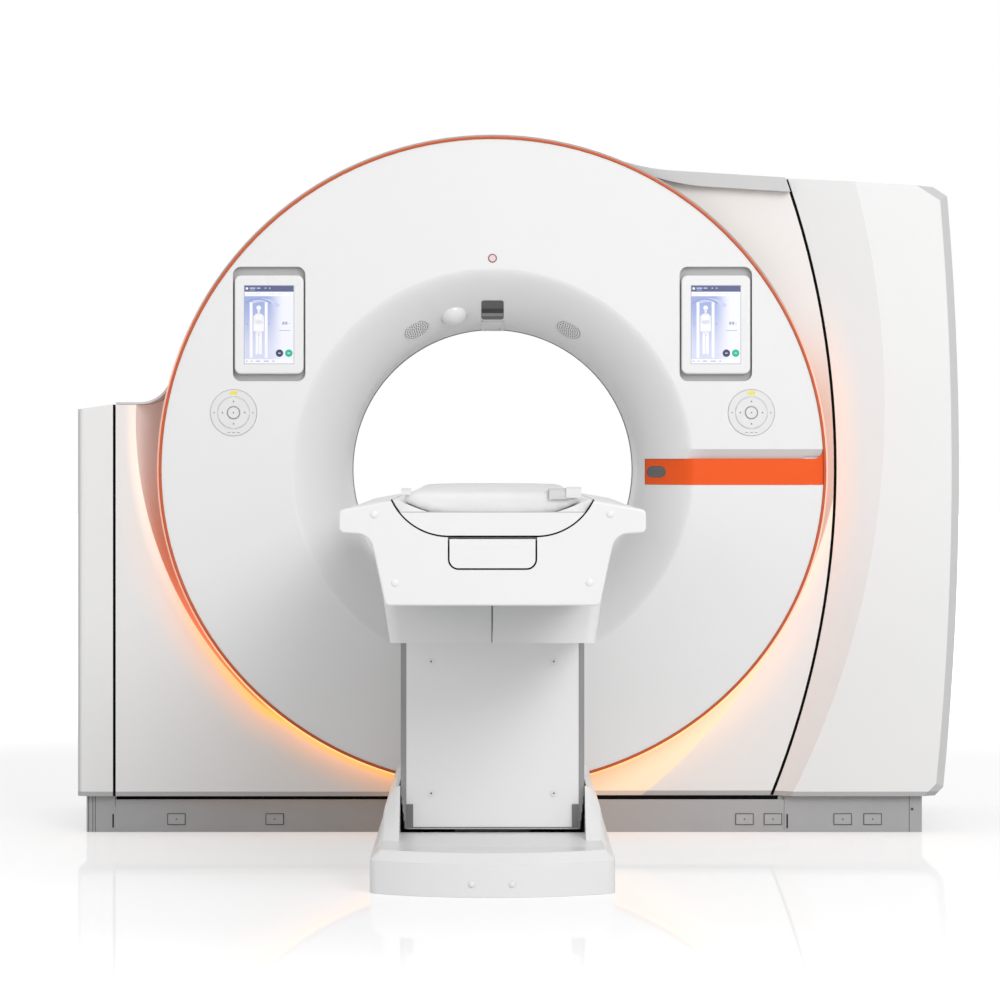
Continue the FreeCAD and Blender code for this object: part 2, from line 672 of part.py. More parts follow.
# ---------------------------------------------------------------- plinth
def plinths():
    low, w = 0, PLINTH_WALL
    left_joint = LEFT_JOINT_X
    right_joint = joint_x(SKIRT_Z) + 35
    ends = (("left_plinth", PLINTH_LEFT, left_joint), ("right_plinth", PLINTH_RIGHT, right_joint))
    for name, x_out, x_in in ends:
        x0, x1 = min(x_out, x_in), max(x_out, x_in)
        side = 1 if x_out > 0 else -1
        shell = box(x0, x1, PLINTH_FRONT, PLINTH_REAR, low, SKIRT_Z)
        hollow_x0, hollow_x1 = (x0 - 9, x1 - w) if side > 0 else (x0 + w, x1 + 9)
        shell = shell.cut(box(hollow_x0, hollow_x1, PLINTH_FRONT + w, PLINTH_REAR - w, low - 1, SKIRT_Z + 1))
        upright = [e for e in shell.Edges if e.BoundBox.ZLength > 50 and e.BoundBox.YMax < PLINTH_FRONT + 1]
        outer = [e for e in upright if abs(e.BoundBox.XMin - x_out) < 1]
        save(name, shell.makeChamfer(w * 0.8, outer))
    x0, x1 = left_joint + FIT, right_joint - FIT
    front = box(x0, x1, PLINTH_FRONT, PLINTH_FRONT + w, low, PLINTH_Z)
    ledge = box(x0, x1, PLINTH_FRONT + w, PLINTH_FRONT + 14, PLINTH_Z - 30, SKIRT_Z)
    rear = box(x0, x1, PLINTH_REAR - w, PLINTH_REAR, low, SKIRT_Z)
    save("middle_plinths", front.fuse(ledge), rear)
    plates = []
    for x in ACCESS_X:
        plate = box(x - ACCESS_W / 2, x + ACCESS_W / 2, PLINTH_FRONT - 2, PLINTH_FRONT,
                    ACCESS_Z - ACCESS_H / 2, ACCESS_Z + ACCESS_H / 2)
        plates.append(plate.fuse(bar(3, V(x, PLINTH_FRONT - 3, ACCESS_Z), V(x, PLINTH_FRONT, ACCESS_Z))))
    save("access_plates", *plates)


# ---------------------------------------------------------------- controls on the disc
def controls():
    screens, plates = [], []
    for name, side in (("left", -1), ("right", 1)):
        x = side * TABLET_X
        y = FRONT_Y - TABLET_PROUD
        tablet = soft_front(rounded(x, TABLET_Z, TABLET_W, TABLET_H, TABLET_R, y, y + TABLET_T), 6)
        glass = box(x - SCREEN_W / 2, x + SCREEN_W / 2, y, y + SCREEN_T,
                    TABLET_Z - SCREEN_H / 2, TABLET_Z + SCREEN_H / 2)
        screens.append(glass)
        save(name + "_tablet", tablet.cut(glass))
        px = side * PAD_X
        face_y = FRONT_Y - 1.5
        back = face_y + PAD_T
        plate = bar(PAD_R, V(px, face_y, PAD_Z), V(px, back + 5, PAD_Z))
        plates.append(plate.cut(bar(ROCKER_R + PAD_CLEAR, V(px, face_y - 1, PAD_Z), V(px, back, PAD_Z))))
        ring_back = back - PRESS - 0.5
        rocker = bar(ROCKER_R, V(px, face_y - 1.5, PAD_Z), V(px, ring_back, PAD_Z))
        rocker = rocker.cut(bar(BUTTON_R + PAD_CLEAR, V(px, face_y - 9, PAD_Z), V(px, back, PAD_Z)))
        save(name + "_rocker_ring", soft_front(rocker, 1))
        button = bar(BUTTON_R, V(px, face_y - 3, PAD_Z), V(px, ring_back, PAD_Z))
        save(name + "_centre_button", soft_front(button, 1))
    save("tablet_screens", *screens)
    save("pad_plates", *plates)
    save("indicator_lamp", bar(LAMP_R, V(0, FRONT_Y - 2, LAMP_Z), V(0, FRONT_Y + DISC_WALL + 4, LAMP_Z)))


# ---------------------------------------------------------------- rotor, bearing and drive
def sector(r_in, r_out, from_deg, to_deg, y0, y1, centre=BASE):
    def spot(r, degrees):
        return V(centre.x + r * cos(radians(degrees)), y0, centre.z + r * sin(radians(degrees)))

    mid = (from_deg + to_deg) / 2
    outer = Part.Arc(spot(r_out, from_deg), spot(r_out, mid), spot(r_out, to_deg)).toShape()
    inner = Part.Arc(spot(r_in, from_deg), spot(r_in, mid), spot(r_in, to_deg)).toShape()
    sides = [Part.makeLine(spot(r_in, d), spot(r_out, d)) for d in (from_deg, to_deg)]
    outline = Part.Wire(Part.__sortEdges__([outer, inner] + sides))
    return Part.Face(outline).extrude(V(0, y1 - y0, 0))


def turned(shape, degrees):
    shape = shape.copy()
    shape.rotate(BASE, ACROSS, -degrees)
    return shape


def rotor():
    plate = tube(ROTOR_IN, ROTOR_R, ROTOR_Y, ROTOR_Y + ROTOR_T)
    rim = tube(ROTOR_R - RIM_T, ROTOR_R, RIM_FRONT, ROTOR_Y)
    holes = [bar(26, polar(ROTOR_R - 48, a, ROTOR_Y - 1), polar(ROTOR_R - 48, a, ROTOR_Y + ROTOR_T + 1))
             for a in range(15, 360, 30)]
    save("rotor_drum", plate.fuse(rim).cut(Part.makeCompound(holes)).removeSplitter())
    # tube housing with its two caps, opposite the detector
    mid = polar(TUBE_AT, 90, 0)
    y0 = ROTOR_Y - TUBE_LEN
    housing = bar(TUBE_R, V(mid.x, y0, mid.z), V(mid.x, ROTOR_Y, mid.z))
    housing = housing.makeChamfer(12, [e for e in housing.Edges if e.BoundBox.YMax < y0 + 1])
    save("xray_tube", housing)
    low = ISO_Z + ROTOR_IN + 12
    window = box(-COLLIMATOR_W / 2, COLLIMATOR_W / 2, -55, 55, low, mid.z - TUBE_R + 12)
    window = window.cut(bar(TUBE_R + 0.1, V(mid.x, -99, mid.z), V(mid.x, 99, mid.z)))
    window = window.cut(box(-COLLIMATOR_W / 3, COLLIMATOR_W / 3, -20, 20, low - 1, mid.z))
    save("collimator", window)
    focus = V(0, 0, ISO_Z + TUBE_AT)
    detector = sector(DETECTOR_R, DETECTOR_R + DETECTOR_T, 270 - DETECTOR_HALF_DEG, 270 + DETECTOR_HALF_DEG,
                      -DETECTOR_W / 2, ROTOR_Y, focus)
    fins = [turned_about(box(-2, 2, -DETECTOR_W / 2, DETECTOR_W / 2, focus.z - DETECTOR_R - DETECTOR_T - 14,
                             focus.z - DETECTOR_R - DETECTOR_T + 2), focus, a) for a in range(-20, 21, 4)]
    save("detector_arc", detector.fuse(fins))
    save("generator", rotor_box(0, MODULE_DEEP, MODULE_W, MODULE_T))
    cooler = rotor_box(180, MODULE_DEEP, MODULE_W, MODULE_T)
    slots = [box(-BOX_AT - MODULE_DEEP / 2 - 15, -BOX_AT + MODULE_DEEP / 2 - 15, ROTOR_Y - MODULE_T - 1,
                 ROTOR_Y - 60, ISO_Z + z, ISO_Z + z + 12) for z in range(-150, 151, 28)]
    save("heat_exchanger", cooler.cut(Part.makeCompound(slots)))
    save("counterweights", *[rotor_box(a, BALANCE, BALANCE_W, BALANCE_T) for a in BALANCE_DEG])
    save("slip_ring", tube(SLIP_IN, SLIP_R, ROTOR_Y + ROTOR_T, ROTOR_Y + ROTOR_T + SLIP_T))
    inner = tube(BEARING_R - BEARING_RING, BEARING_R - BEARING_GAP, ROTOR_Y + ROTOR_T, STAND_Y - 3)
    save("bearing_inner_ring", inner)


def turned_about(shape, centre, degrees):
    shape.rotate(centre, ACROSS, -degrees)
    return shape


def rotor_box(degrees, deep, wide, tall):
    module = box(BOX_AT - deep / 2, BOX_AT + deep / 2, ROTOR_Y - tall, ROTOR_Y,
                 ISO_Z - wide / 2, ISO_Z + wide / 2)
    module = module.makeChamfer(8, [e for e in module.Edges if e.BoundBox.YMax < ROTOR_Y - tall + 1])
    return turned(module, degrees)


def stand_and_drive():
    y0, y1 = STAND_Y, STAND_Y + STAND_T
    plate = tube(ROTOR_IN, STAND_R, y0, y1)
    legs = box(-LEG_X, LEG_X, y0, y1, FRAME_H, ISO_Z - 150)
    legs = legs.cut(bar(ROTOR_IN, V(0, y0 - 1, ISO_Z), V(0, y1 + 1, ISO_Z)))
    wing = box(PULLEY_X - MOTOR_R - 12, -LEG_X + 20, y0, y1, FRAME_H, PULLEY_Z + MOTOR_R + 15)
    feet = box(-LEG_X, LEG_X, y1, y1 + 60, FRAME_H, FRAME_H + 16)
    brush = box(SLIP_IN + 5, SLIP_R - 5, ROTOR_Y + ROTOR_T + SLIP_T + 2, y0, ISO_Z - 40, ISO_Z + 40)
    plate = plate.fuse([legs, wing, feet, brush]).removeSplitter()
    arch = box(-ARCH_X, ARCH_X, y0 - 1, y1 + 1, 1.75 * FRAME_H, ISO_Z - STAND_R + ARCH_X / 4)
    shaft_hole = bar(SHAFT_R + 3, V(PULLEY_X, y0 - 1, PULLEY_Z), V(PULLEY_X, y1 + 1, PULLEY_Z))
    save("bearing_stand", plate.cut(arch).cut(shaft_hole))
    save("bearing_outer_ring", tube(BEARING_R, BEARING_R + BEARING_RING, BEARING_Y, STAND_Y))
    motor = bar(MOTOR_R, V(PULLEY_X, y1, PULLEY_Z), V(PULLEY_X, y1 + MOTOR_LEN, PULLEY_Z))
    motor = motor.makeChamfer(8, [e for e in motor.Edges if e.BoundBox.YMin > y1 + MOTOR_LEN - 1])
    bore = bar(SHAFT_R + 3, V(PULLEY_X, y1 - 1, PULLEY_Z), V(PULLEY_X, y1 + 12, PULLEY_Z))
    save("drive_motor", motor.cut(bore))
    pulley = bar(PULLEY_R, V(PULLEY_X, BELT_Y - 3, PULLEY_Z), V(PULLEY_X, BELT_Y + BELT_W + 3, PULLEY_Z))
    shaft = bar(SHAFT_R, V(PULLEY_X, BELT_Y + BELT_W, PULLEY_Z), V(PULLEY_X, y1 + 8, PULLEY_Z))
    holes = [bar(10, V(PULLEY_X + 48 * cos(a * pi / 3), BELT_Y - 9, PULLEY_Z + 48 * sin(a * pi / 3)),
                 V(PULLEY_X + 48 * cos(a * pi / 3), BELT_Y + BELT_W + 9, PULLEY_Z + 48 * sin(a * pi / 3)))
             for a in range(6)]
    save("motor_pulley", pulley.cut(Part.makeCompound(holes)).fuse(shaft))
    save("drive_belt", belt_loop(BELT_GAP + BELT_T).cut(belt_loop(BELT_GAP, 2)))


# The belt's outline: round the rotor's rim and the pulley, with the two straight runs between them.
def belt_loop(grow, longer=0):
    big, small = ROTOR_R + grow, PULLEY_R + grow
    dx, dz = PULLEY_X, PULLEY_Z - ISO_Z
    reach = hypot(dx, dz)
    along = atan2(dz, dx)
    open_angle = acos((big - small) / reach)
    y = BELT_Y - longer

    def spot(x, z, r, angle):
        return V(x + r * cos(angle), y, z + r * sin(angle))

    first, second = along + open_angle, along - open_angle
    wide = Part.Arc(spot(0, ISO_Z, big, first), spot(0, ISO_Z, big, along + pi), spot(0, ISO_Z, big, second))
    tight = Part.Arc(spot(dx, PULLEY_Z, small, first), spot(dx, PULLEY_Z, small, along),
                     spot(dx, PULLEY_Z, small, second))
    runs = [Part.makeLine(spot(0, ISO_Z, big, a), spot(dx, PULLEY_Z, small, a)) for a in (first, second)]
    outline = Part.Wire(Part.__sortEdges__([wide.toShape(), tight.toShape()] + runs))
    return Part.Face(outline).extrude(V(0, BELT_W + 2 * longer, 0))


def base_frame():
    half = BEAM_W / 2
    beams = [box(-FRAME_X, FRAME_X, y - half, y + half, 0, FRAME_H) for y in (-ANCHOR_Y, ANCHOR_Y)]
    beams += [box(x - half, x + half, -ANCHOR_Y, ANCHOR_Y, 0, FRAME_H) for x in (-ANCHOR_X, 0, ANCHOR_X)]
    beams.append(box(-LEG_X, LEG_X, STAND_Y - 10, STAND_Y + STAND_T + 70, 0, FRAME_H))
    pocket = ANCHOR_POCKET / 2
    frame = beams[0].fuse(beams[1:]).removeSplitter()
    for x in (-ANCHOR_X, ANCHOR_X):
        for y in (-ANCHOR_Y, ANCHOR_Y):
            frame = frame.cut(Part.makeCylinder(ANCHOR_HOLE_R, FRAME_H + 2, V(x, y, -1)))
            frame = frame.cut(box(x - pocket, x + pocket, y - pocket, y + pocket, ANCHOR_FLOOR, FRAME_H + 1))
    # posts that hold the left shoulder of the top cover
    post = POST_W / 2
    for y in (COVER_BACK + half, PLINTH_REAR - half):
        x = post - FRAME_X
        frame = frame.fuse(box(x - post, x + post, y - post, y + post, FRAME_H - 1, SHOULDER_Z - WALL))
    save("gantry_base_frame", frame.removeSplitter())


# ---------------------------------------------------------------- table: foot and lifting column
# The foot's outline from above, with its bowed front, drawn in by inset.
def foot_outline(inset, z):
    x = FOOT_X - inset
    corner, front, rear = FOOT_CORNER + inset, FOOT_FRONT + inset, FOOT_REAR - inset
    edges = [
        Part.Arc(V(-x, corner, z), V(0, front, z), V(x, corner, z)).toShape(),
        Part.makeLine(V(x, corner, z), V(x, rear, z)),
        Part.makeLine(V(x, rear, z), V(-x, rear, z)),
        Part.makeLine(V(-x, rear, z), V(-x, corner, z)),
    ]
    return Part.Wire(edges)


def foot_prism(inset, z0, z1):
    prism = Part.Face(foot_outline(inset, z0)).extrude(V(0, 0, z1 - z0))
    upright = [e for e in prism.Edges if e.BoundBox.ZLength > (z1 - z0) * 0.9]
    return prism.makeFillet(FOOT_ROUND - inset, upright)


def foot_cover():
    body = foot_prism(0, 0, FOOT_STEP)
    rim = [e for e in body.Edges if e.BoundBox.ZMin > FOOT_STEP - 1]
    body = body.makeChamfer(FOOT_STEP - FOOT_SKIRT, rim)
    half = FOOT_X - (FOOT_STEP - FOOT_SKIRT) - 4
    front = FOOT_CORNER + 30
    rear = FOOT_REAR - 30
    profile = [(front, FOOT_STEP - 4), (PANEL_Y - 60, FOOT_TOP), (rear, FOOT_TOP), (rear, FOOT_STEP - 4)]
    points = [V(-half, y, z) for y, z in profile]
    plateau = Part.Face(Part.makePolygon(points + points[:1])).extrude(V(2 * half, 0, 0))
    body = body.fuse(plateau)
    well_x = STRIP_X + WELL_GAP
    for side in (-1, 1):
        section = [(well_x - 4, FOOT_STEP - 4), (well_x - 4, SHOULDER_PEAK), (well_x + 8, SHOULDER_PEAK - 5),
                   (well_x + 34, SHOULDER_PEAK - 52), (FOOT_X - 10, FOOT_STEP - 10)]
        rear_y = FOOT_REAR - 4
        wires = []
        for y, scale in ((PANEL_Y - 150, 0.12), (PANEL_Y - 15, 1.0), (rear_y, 1.0)):
            corners = [V(side * x, y, FOOT_STEP - 10 + (z - FOOT_STEP + 10) * scale) for x, z in section]
            wires.append(Part.makePolygon(corners + corners[:1]))
        body = body.fuse(Part.makeLoft(wires, True, True))
    inside = foot_prism(FOOT_WALL, -1, FOOT_SKIRT - FOOT_WALL)
    well = box(-well_x, well_x, PANEL_Y - WELL_GAP, PANEL_REAR + WELL_GAP, -1, 400)
    save("table_foot_cover", body.cut(inside).cut(well).removeSplitter())


def sleeve(half_x, half_y, wall, z0, z1):
    outer = box(-half_x, half_x, COLUMN_Y - half_y, COLUMN_Y + half_y, z0, z1)
    return outer.cut(box(-half_x + wall, half_x - wall, COLUMN_Y - half_y + wall, COLUMN_Y + half_y - wall,
                         z0 - 1, z1 + 1))


def column():
    t = FLOOR_PLATE_T
    deep = TABLE_ANCHOR_Y + 40
    plate = box(-FLOOR_X, FLOOR_X, COLUMN_Y - deep, COLUMN_Y + deep, 0, t)
    for x in (-TABLE_ANCHOR_X, TABLE_ANCHOR_X):
        for y in (COLUMN_Y - TABLE_ANCHOR_Y, COLUMN_Y + TABLE_ANCHOR_Y):
            plate = plate.cut(Part.makeCylinder(ANCHOR_HOLE_R, t + 2, V(x, y, -1)))
    save("table_floor_plate", plate)
    save("fixed_column", sleeve(COLUMN_X, COLUMN_D, COLUMN_WALL, t, COLUMN_TOP))
    middle_x = COLUMN_X + STAGE_GAP + COLUMN_WALL
    middle_y = COLUMN_D + STAGE_GAP + COLUMN_WALL
    middle = sleeve(middle_x, middle_y, COLUMN_WALL, STAGE_LOW, PANEL_TOP)
    hole = box(-middle_x + 1, middle_x - 1, COLUMN_Y - middle_y + 1, COLUMN_Y + middle_y - 1, 0, 999)
    reach = STRIP_X - STEPS * STEP_IN - PANEL_T
    carrier = box(-reach, reach, PANEL_Y + PANEL_T, PANEL_REAR - PANEL_T,
                  STAGE_LOW, STAGE_LOW + 8).cut(hole)
    for x in (-1, 1):
        carrier = carrier.cut(bar(CYL_R + 4, V(x * CYL_X, COLUMN_Y, 0), V(x * CYL_X, COLUMN_Y, 999)))
        for y in (-TABLE_ANCHOR_Y, TABLE_ANCHOR_Y):
            hatch = V(x * TABLE_ANCHOR_X, COLUMN_Y + y, 0)
            carrier = carrier.cut(bar(30, hatch, hatch + V(0, 0, 999)))
    save("column_sleeve", middle.fuse(carrier).removeSplitter())
    # moving skin of the pedestal: a white front panel between grey side plates with stepped lower ends
    save("pedestal_panel", box(-PANEL_X, PANEL_X, PANEL_Y, PANEL_Y + PANEL_T, PANEL_LOW, PANEL_TOP))

    def skin_block(inset, inside=0):
        blocks = []
        for i in range(STEPS + 1):
            x = STRIP_X - i * STEP_IN - inset
            z0 = max(STEP_TOP - i * STEP_H, PANEL_LOW) - 99 * inside * (i == STEPS)
            z1 = PANEL_TOP + 9 * inside if i == 0 else STEP_TOP - (i - 1) * STEP_H
            blocks.append(box(-x, x, PANEL_Y - inside, PANEL_REAR - inset, z0, z1))
        return blocks[0].fuse(blocks[1:])

    skin = skin_block(0).cut(skin_block(PANEL_T, 1))
    gap = PANEL_X + FIT / 2
    flange = skin_block(0).common(box(-STRIP_X, STRIP_X, PANEL_Y, PANEL_Y + PANEL_T, 0, 999))
    skin = skin.fuse(flange).cut(box(-gap, gap, PANEL_Y - 1, PANEL_Y + PANEL_T + FIT, 0, 999))
    save("pedestal_side_plates", skin.removeSplitter())
    top = FRAME_TOP - FRAME_T
    reach = top - LIFT_DOWN - 6
    cylinders, rods = [], []
    for x in (-CYL_X, CYL_X):
        outer = bar(CYL_R, V(x, COLUMN_Y, t), V(x, COLUMN_Y, reach))
        cylinders.append(outer.cut(bar(ROD_R + 0.5, V(x, COLUMN_Y, t + 6), V(x, COLUMN_Y, reach + 1))))
        rods.append(bar(ROD_R, V(x, COLUMN_Y, t + 12 + LIFT_DOWN), V(x, COLUMN_Y, top)))
    save("lift_cylinders", *cylinders)
    save("lift_rods", *rods)


# ---------------------------------------------------------------- table: frame, cowl, rails and shells
def table_frame():
    t = FRAME_T
    top = FRAME_TOP
    y0, y1 = TABLE_FRONT + COWL_DEPTH, TABLE_REAR - 20
    bottom = LOWER_TOP
    side = FRAME_SIDE
    shelf = RAIL_WALL_X - 6
    frame = box(-shelf, shelf, y0, y1, top - t, top)
    parts = []
    for sign in (-1, 1):
        x0, x1 = sorted((sign * (side - 12), sign * side))
        parts.append(box(x0, x1, y0, y1, bottom, top - t))
        x0, x1 = sorted((sign * (side - 12), sign * (LOWER_TOP_X - 1)))
        parts.append(box(x0, x1, LOWER_FRONT, LOWER_REAR, bottom, bottom + t))
        x0, x1 = sorted((sign * 60, sign * 84))
        parts.append(box(x0, x1, y0, y1, top, TROUGH_Z + SEAM - SLIDE_GAP))
    for y in (y0, LOWER_FRONT, PANEL_Y - 60, PANEL_REAR + 50, y1 - 10):
        parts.append(box(-side, side, y, y + 10, bottom, top - t))
    upper_x = COLUMN_X + 2 * (STAGE_GAP + COLUMN_WALL)
    upper_y = COLUMN_D + 2 * (STAGE_GAP + COLUMN_WALL)
    parts.append(sleeve(upper_x, upper_y, COLUMN_WALL, UPPER_LOW, top - t))
    save("table_frame", frame.fuse(parts).removeSplitter())


# The trough that the tabletop lies in, seen from the front: half width and depth drawn in by inset.
def trough(inset, top):
    flat = TROUGH_FLAT
    x, low = TOP_X - inset, TROUGH_Z + inset
    # a point on the round, two thirds of the way out
    mid_x = flat + 0.62 * (x - flat)
    mid_z = low + 0.295 * (TOP_EDGE_Z - low)
    return [(-x, top), (-x, TOP_EDGE_Z), (-mid_x, mid_z, 1), (-flat, low), (flat, low), (mid_x, mid_z, 1),
            (x, TOP_EDGE_Z), (x, top)]


# The cowl's outline from the front: two ears over a tapering apron, drawn in by inset.
def cowl_corners(inset):
    half = [
        (RAIL_IN_X, RAIL_IN_Z - inset), (RAIL_X - inset, RAIL_TOP - inset),
        (RAIL_X - inset, RAIL_LOW + inset),
        (BODY_X + 4 - inset, RAIL_LOW - 4 + inset), (BODY_X - 8 - inset, RAIL_LOW - 50),
        (BODY_LOW_X - inset, BODY_LOW_Z + inset),
    ]
    return [(-x, z) for x, z in half] + half[::-1]


# Rounds the edges of a front-view slab that run along the table at the given corners.
def round_along(shape, corners, radius):
    def near(edge):
        point = edge.Vertexes[0].Point
        runs = abs(edge.tangentAt(edge.FirstParameter).y) > 0.99
        return runs and any(abs(abs(point.x) - abs(x)) < 0.1 and abs(point.z - z) < 0.1 for x, z in corners)

    return shape.makeFillet(radius, [e for e in shape.Edges if near(e)])


def front_cowl():
    y0, y1 = TABLE_FRONT, TABLE_FRONT + COWL_DEPTH
    w = COWL_WALL
    corners = cowl_corners(0)
    cowl = round_along(slab(corners, y0, y1), corners[1:3] + corners[5:6], COWL_ROUND)
    cowl = round_along(cowl, corners[3:5], 3 * COWL_ROUND)
    rim = [e for e in cowl.Edges if e.BoundBox.YMax < y0 + 0.5 and e.BoundBox.ZMax < RAIL_IN_Z - 1]
    cowl = cowl.makeFillet(5, rim)
    space = slab(cowl_corners(w), y0 + w, y1 + 1).cut(slab(trough(-w, RAIL_IN_Z + 40), y0, y1 + 2))
    cowl = cowl.cut(space).cut(slab(trough(0, RAIL_IN_Z + 60), y0 - 1, y1 + 1))
    gap = FLAP_GAP
    high = TROUGH_Z + 20
    opening = rounded(0, (FLAP_LOW + high) / 2, 2 * (FLAP_X + gap), high - FLAP_LOW + 2 * gap,
                      FLAP_R + gap, y0 - 1, y0 + FLAP_T + 6)
    save("front_cowl", cowl.cut(opening))
    top = TROUGH_Z - SEAM
    flap = rounded(0, (FLAP_LOW + high) / 2, 2 * FLAP_X, high - FLAP_LOW, FLAP_R, y0, y0 + FLAP_T)
    flap = flap.cut(box(-FLAP_X - 9, FLAP_X + 9, y0 - 1, y0 + FLAP_T + 1, top, top + 99))
    grip = box(-FLAP_X + 12, FLAP_X - 12, y0 + 4, y0 + FLAP_T + 1, FLAP_LOW + 10, top - 14)
    save("release_flap", flap.cut(grip))


def side_rails():
    y0, y1 = TABLE_FRONT + COWL_DEPTH, TABLE_REAR
    side, low = RAIL_WALL_X, RAIL_WALL_X - RAIL_WALL_IN
    w = COWL_WALL
    top_part = [
        (RAIL_IN_X + SEAM, RAIL_IN_Z), (RAIL_X - 26, RAIL_TOP + 5), (RAIL_X - 7, RAIL_TOP - 5, 1),
        (RAIL_X, RAIL_TOP - 24), (RAIL_X, RAIL_LOW + 16), (RAIL_X - 6, RAIL_LOW + 5, 1),
        (RAIL_X - 20, RAIL_LOW), (side + 16, RAIL_LOW - 4), (side + w, RAIL_LOW - 18),
        (low + w, SIDE_LOW), (low, SIDE_LOW), (side, RAIL_LOW - 18), (side, RAIL_LOW + 4),
        (RAIL_X - 20, RAIL_LOW + w),
        (RAIL_X - w, RAIL_LOW + 18), (RAIL_X - w, RAIL_TOP - 24), (RAIL_X - 28, RAIL_TOP - 4),
        (RAIL_IN_X + SEAM + w, RAIL_IN_Z - w - 2), (RAIL_IN_X + SEAM + w, FRAME_TOP),
        (RAIL_IN_X + SEAM, FRAME_TOP),
    ]
    right = slab(top_part, y0, y1)
    save("side_rails", right, right.mirror(V(0, 0, 0), V(1, 0, 0)))


def lower_shells():
    def body(inset, z0, z1):
        wires = []
        for z in (z0, z1):
            half = LOWER_BOT_X + (LOWER_TOP_X - LOWER_BOT_X) * (z - LOWER_BOT) / (LOWER_TOP - LOWER_BOT)
            x, front, rear = half - inset, LOWER_FRONT + inset, LOWER_REAR - inset
            corners = [V(-x, front, z), V(x, front, z), V(x, rear, z), V(-x, rear, z), V(-x, front, z)]
            wires.append(Part.makePolygon(corners))
        shape = Part.makeLoft(wires, True, True)
        upright = [e for e in shape.Edges if e.BoundBox.ZLength > (z1 - z0) * 0.9]
        upright = [e for e in upright if e.BoundBox.YMax < LOWER_FRONT + 60]
        return shape.makeFillet(LOWER_ROUND - inset, upright)

    shell = body(0, LOWER_BOT, LOWER_TOP).cut(body(LOWER_WALL, LOWER_BOT + LOWER_WALL, LOWER_TOP + 1))
    x, clear = STRIP_X + LOWER_CLEAR, LOWER_CLEAR
    shell = shell.cut(box(-x, x, PANEL_Y - clear, PANEL_REAR + clear, 0, LOWER_BOT + 50))
    save("left_lower_shell", shell.cut(box(-FIT / 2, 999, -3000, 0, 0, 2000)))
    save("right_lower_shell", shell.cut(box(-999, FIT / 2, -3000, 0, 0, 2000)))


# ---------------------------------------------------------------- table: the sliding top
def tabletop():
    y0 = TABLE_FRONT + END_CAP_T
    outline = trough(SEAM, TOP_EDGE_Z)[1:-1]
    lip = TOP_X - SEAM - 10
    cradle = outline + [(lip, TOP_EDGE_Z), (0, TROUGH_Z + SEAM + CRADLE_DEPTH, 1), (-lip, TOP_EDGE_Z)]
    save("tabletop", slab(cradle, y0, CRADLE_REAR))
    cap = slab(trough(SEAM, TOP_EDGE_Z + 1), TABLE_FRONT, y0)
    cap = cap.common(box(-TOP_X, TOP_X, TABLE_FRONT - 1, y0 + 1, 0, END_CAP_Z))
    save("tabletop_end_cap", cap)
    bottom = TROUGH_Z + SEAM + CRADLE_DEPTH + MATTRESS_GAP
    side_z = TOP_EDGE_Z - 2
    pad = [(-MATTRESS_X, side_z), (0, bottom, 1), (MATTRESS_X, side_z), (MATTRESS_X, side_z + 5),
           (MATTRESS_X - 12, MATTRESS_Z - 3), (0, MATTRESS_Z, 1), (-MATTRESS_X + 12, MATTRESS_Z - 3),
           (-MATTRESS_X, side_z + 5)]
    save("mattress", slab(pad, y0 + 4, CRADLE_REAR - 30))


for build in (front_cover, accent_ring, light_ring, top_cover, front_side_covers, left_side_cover,
              right_side_cover, rear_cover, bore_liner, plinths, controls, rotor, stand_and_drive, base_frame,
              foot_cover, column, table_frame, front_cowl, side_rails, lower_shells, tabletop):
    build()
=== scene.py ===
import bpy, bmesh, math
from mathutils import Matrix, Vector
from mathutils.bvhtree import BVHTree


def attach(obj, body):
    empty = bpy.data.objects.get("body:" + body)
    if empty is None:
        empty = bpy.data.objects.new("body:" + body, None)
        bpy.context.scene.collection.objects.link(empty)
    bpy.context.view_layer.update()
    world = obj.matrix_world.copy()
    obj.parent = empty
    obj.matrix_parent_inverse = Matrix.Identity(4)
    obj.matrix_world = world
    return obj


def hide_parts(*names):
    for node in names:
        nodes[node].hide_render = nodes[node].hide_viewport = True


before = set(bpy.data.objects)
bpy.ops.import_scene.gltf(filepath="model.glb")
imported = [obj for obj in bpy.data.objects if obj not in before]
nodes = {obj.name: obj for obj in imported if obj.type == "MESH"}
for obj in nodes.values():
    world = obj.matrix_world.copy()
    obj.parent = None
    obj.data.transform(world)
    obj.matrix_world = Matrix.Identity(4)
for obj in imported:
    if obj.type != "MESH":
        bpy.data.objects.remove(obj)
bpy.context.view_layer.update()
scene = bpy.context.scene
axisZ = 1017  # height of the bore's axis in millimetres, and in metres
isoZ = axisZ / 1000
print("frame loaded:", len(nodes), "nodes")


# Materials: each one reads Object coordinates, so nothing slides when a body moves
def newMaterial(name):
    material = bpy.data.materials.new(name)
    material.use_nodes = True
    tree = material.node_tree
    return material, tree, tree.nodes["Principled BSDF"]


# A node with its inputs and settings given by name
def addNode(tree, kind, **settings):
    node = tree.nodes.new(kind)
    for key, value in settings.items():
        if key in node.inputs:
            node.inputs[key].default_value = value
        else:
            setattr(node, key, value)
    return node


# Feeds an input from another node, or sets it to a number or a tint
def feed(tree, socket, value):
    if isinstance(value, bpy.types.NodeSocket):
        tree.links.new(value, socket)
    elif isinstance(value, (int, float)):
        socket.default_value = value
    else:
        socket.default_value = (*value, 1)


def maths(tree, operation, *values):
    node = addNode(tree, "ShaderNodeMath", operation=operation)
    for socket, value in zip(node.inputs, values):
        feed(tree, socket, value)
    return node.outputs["Value"]


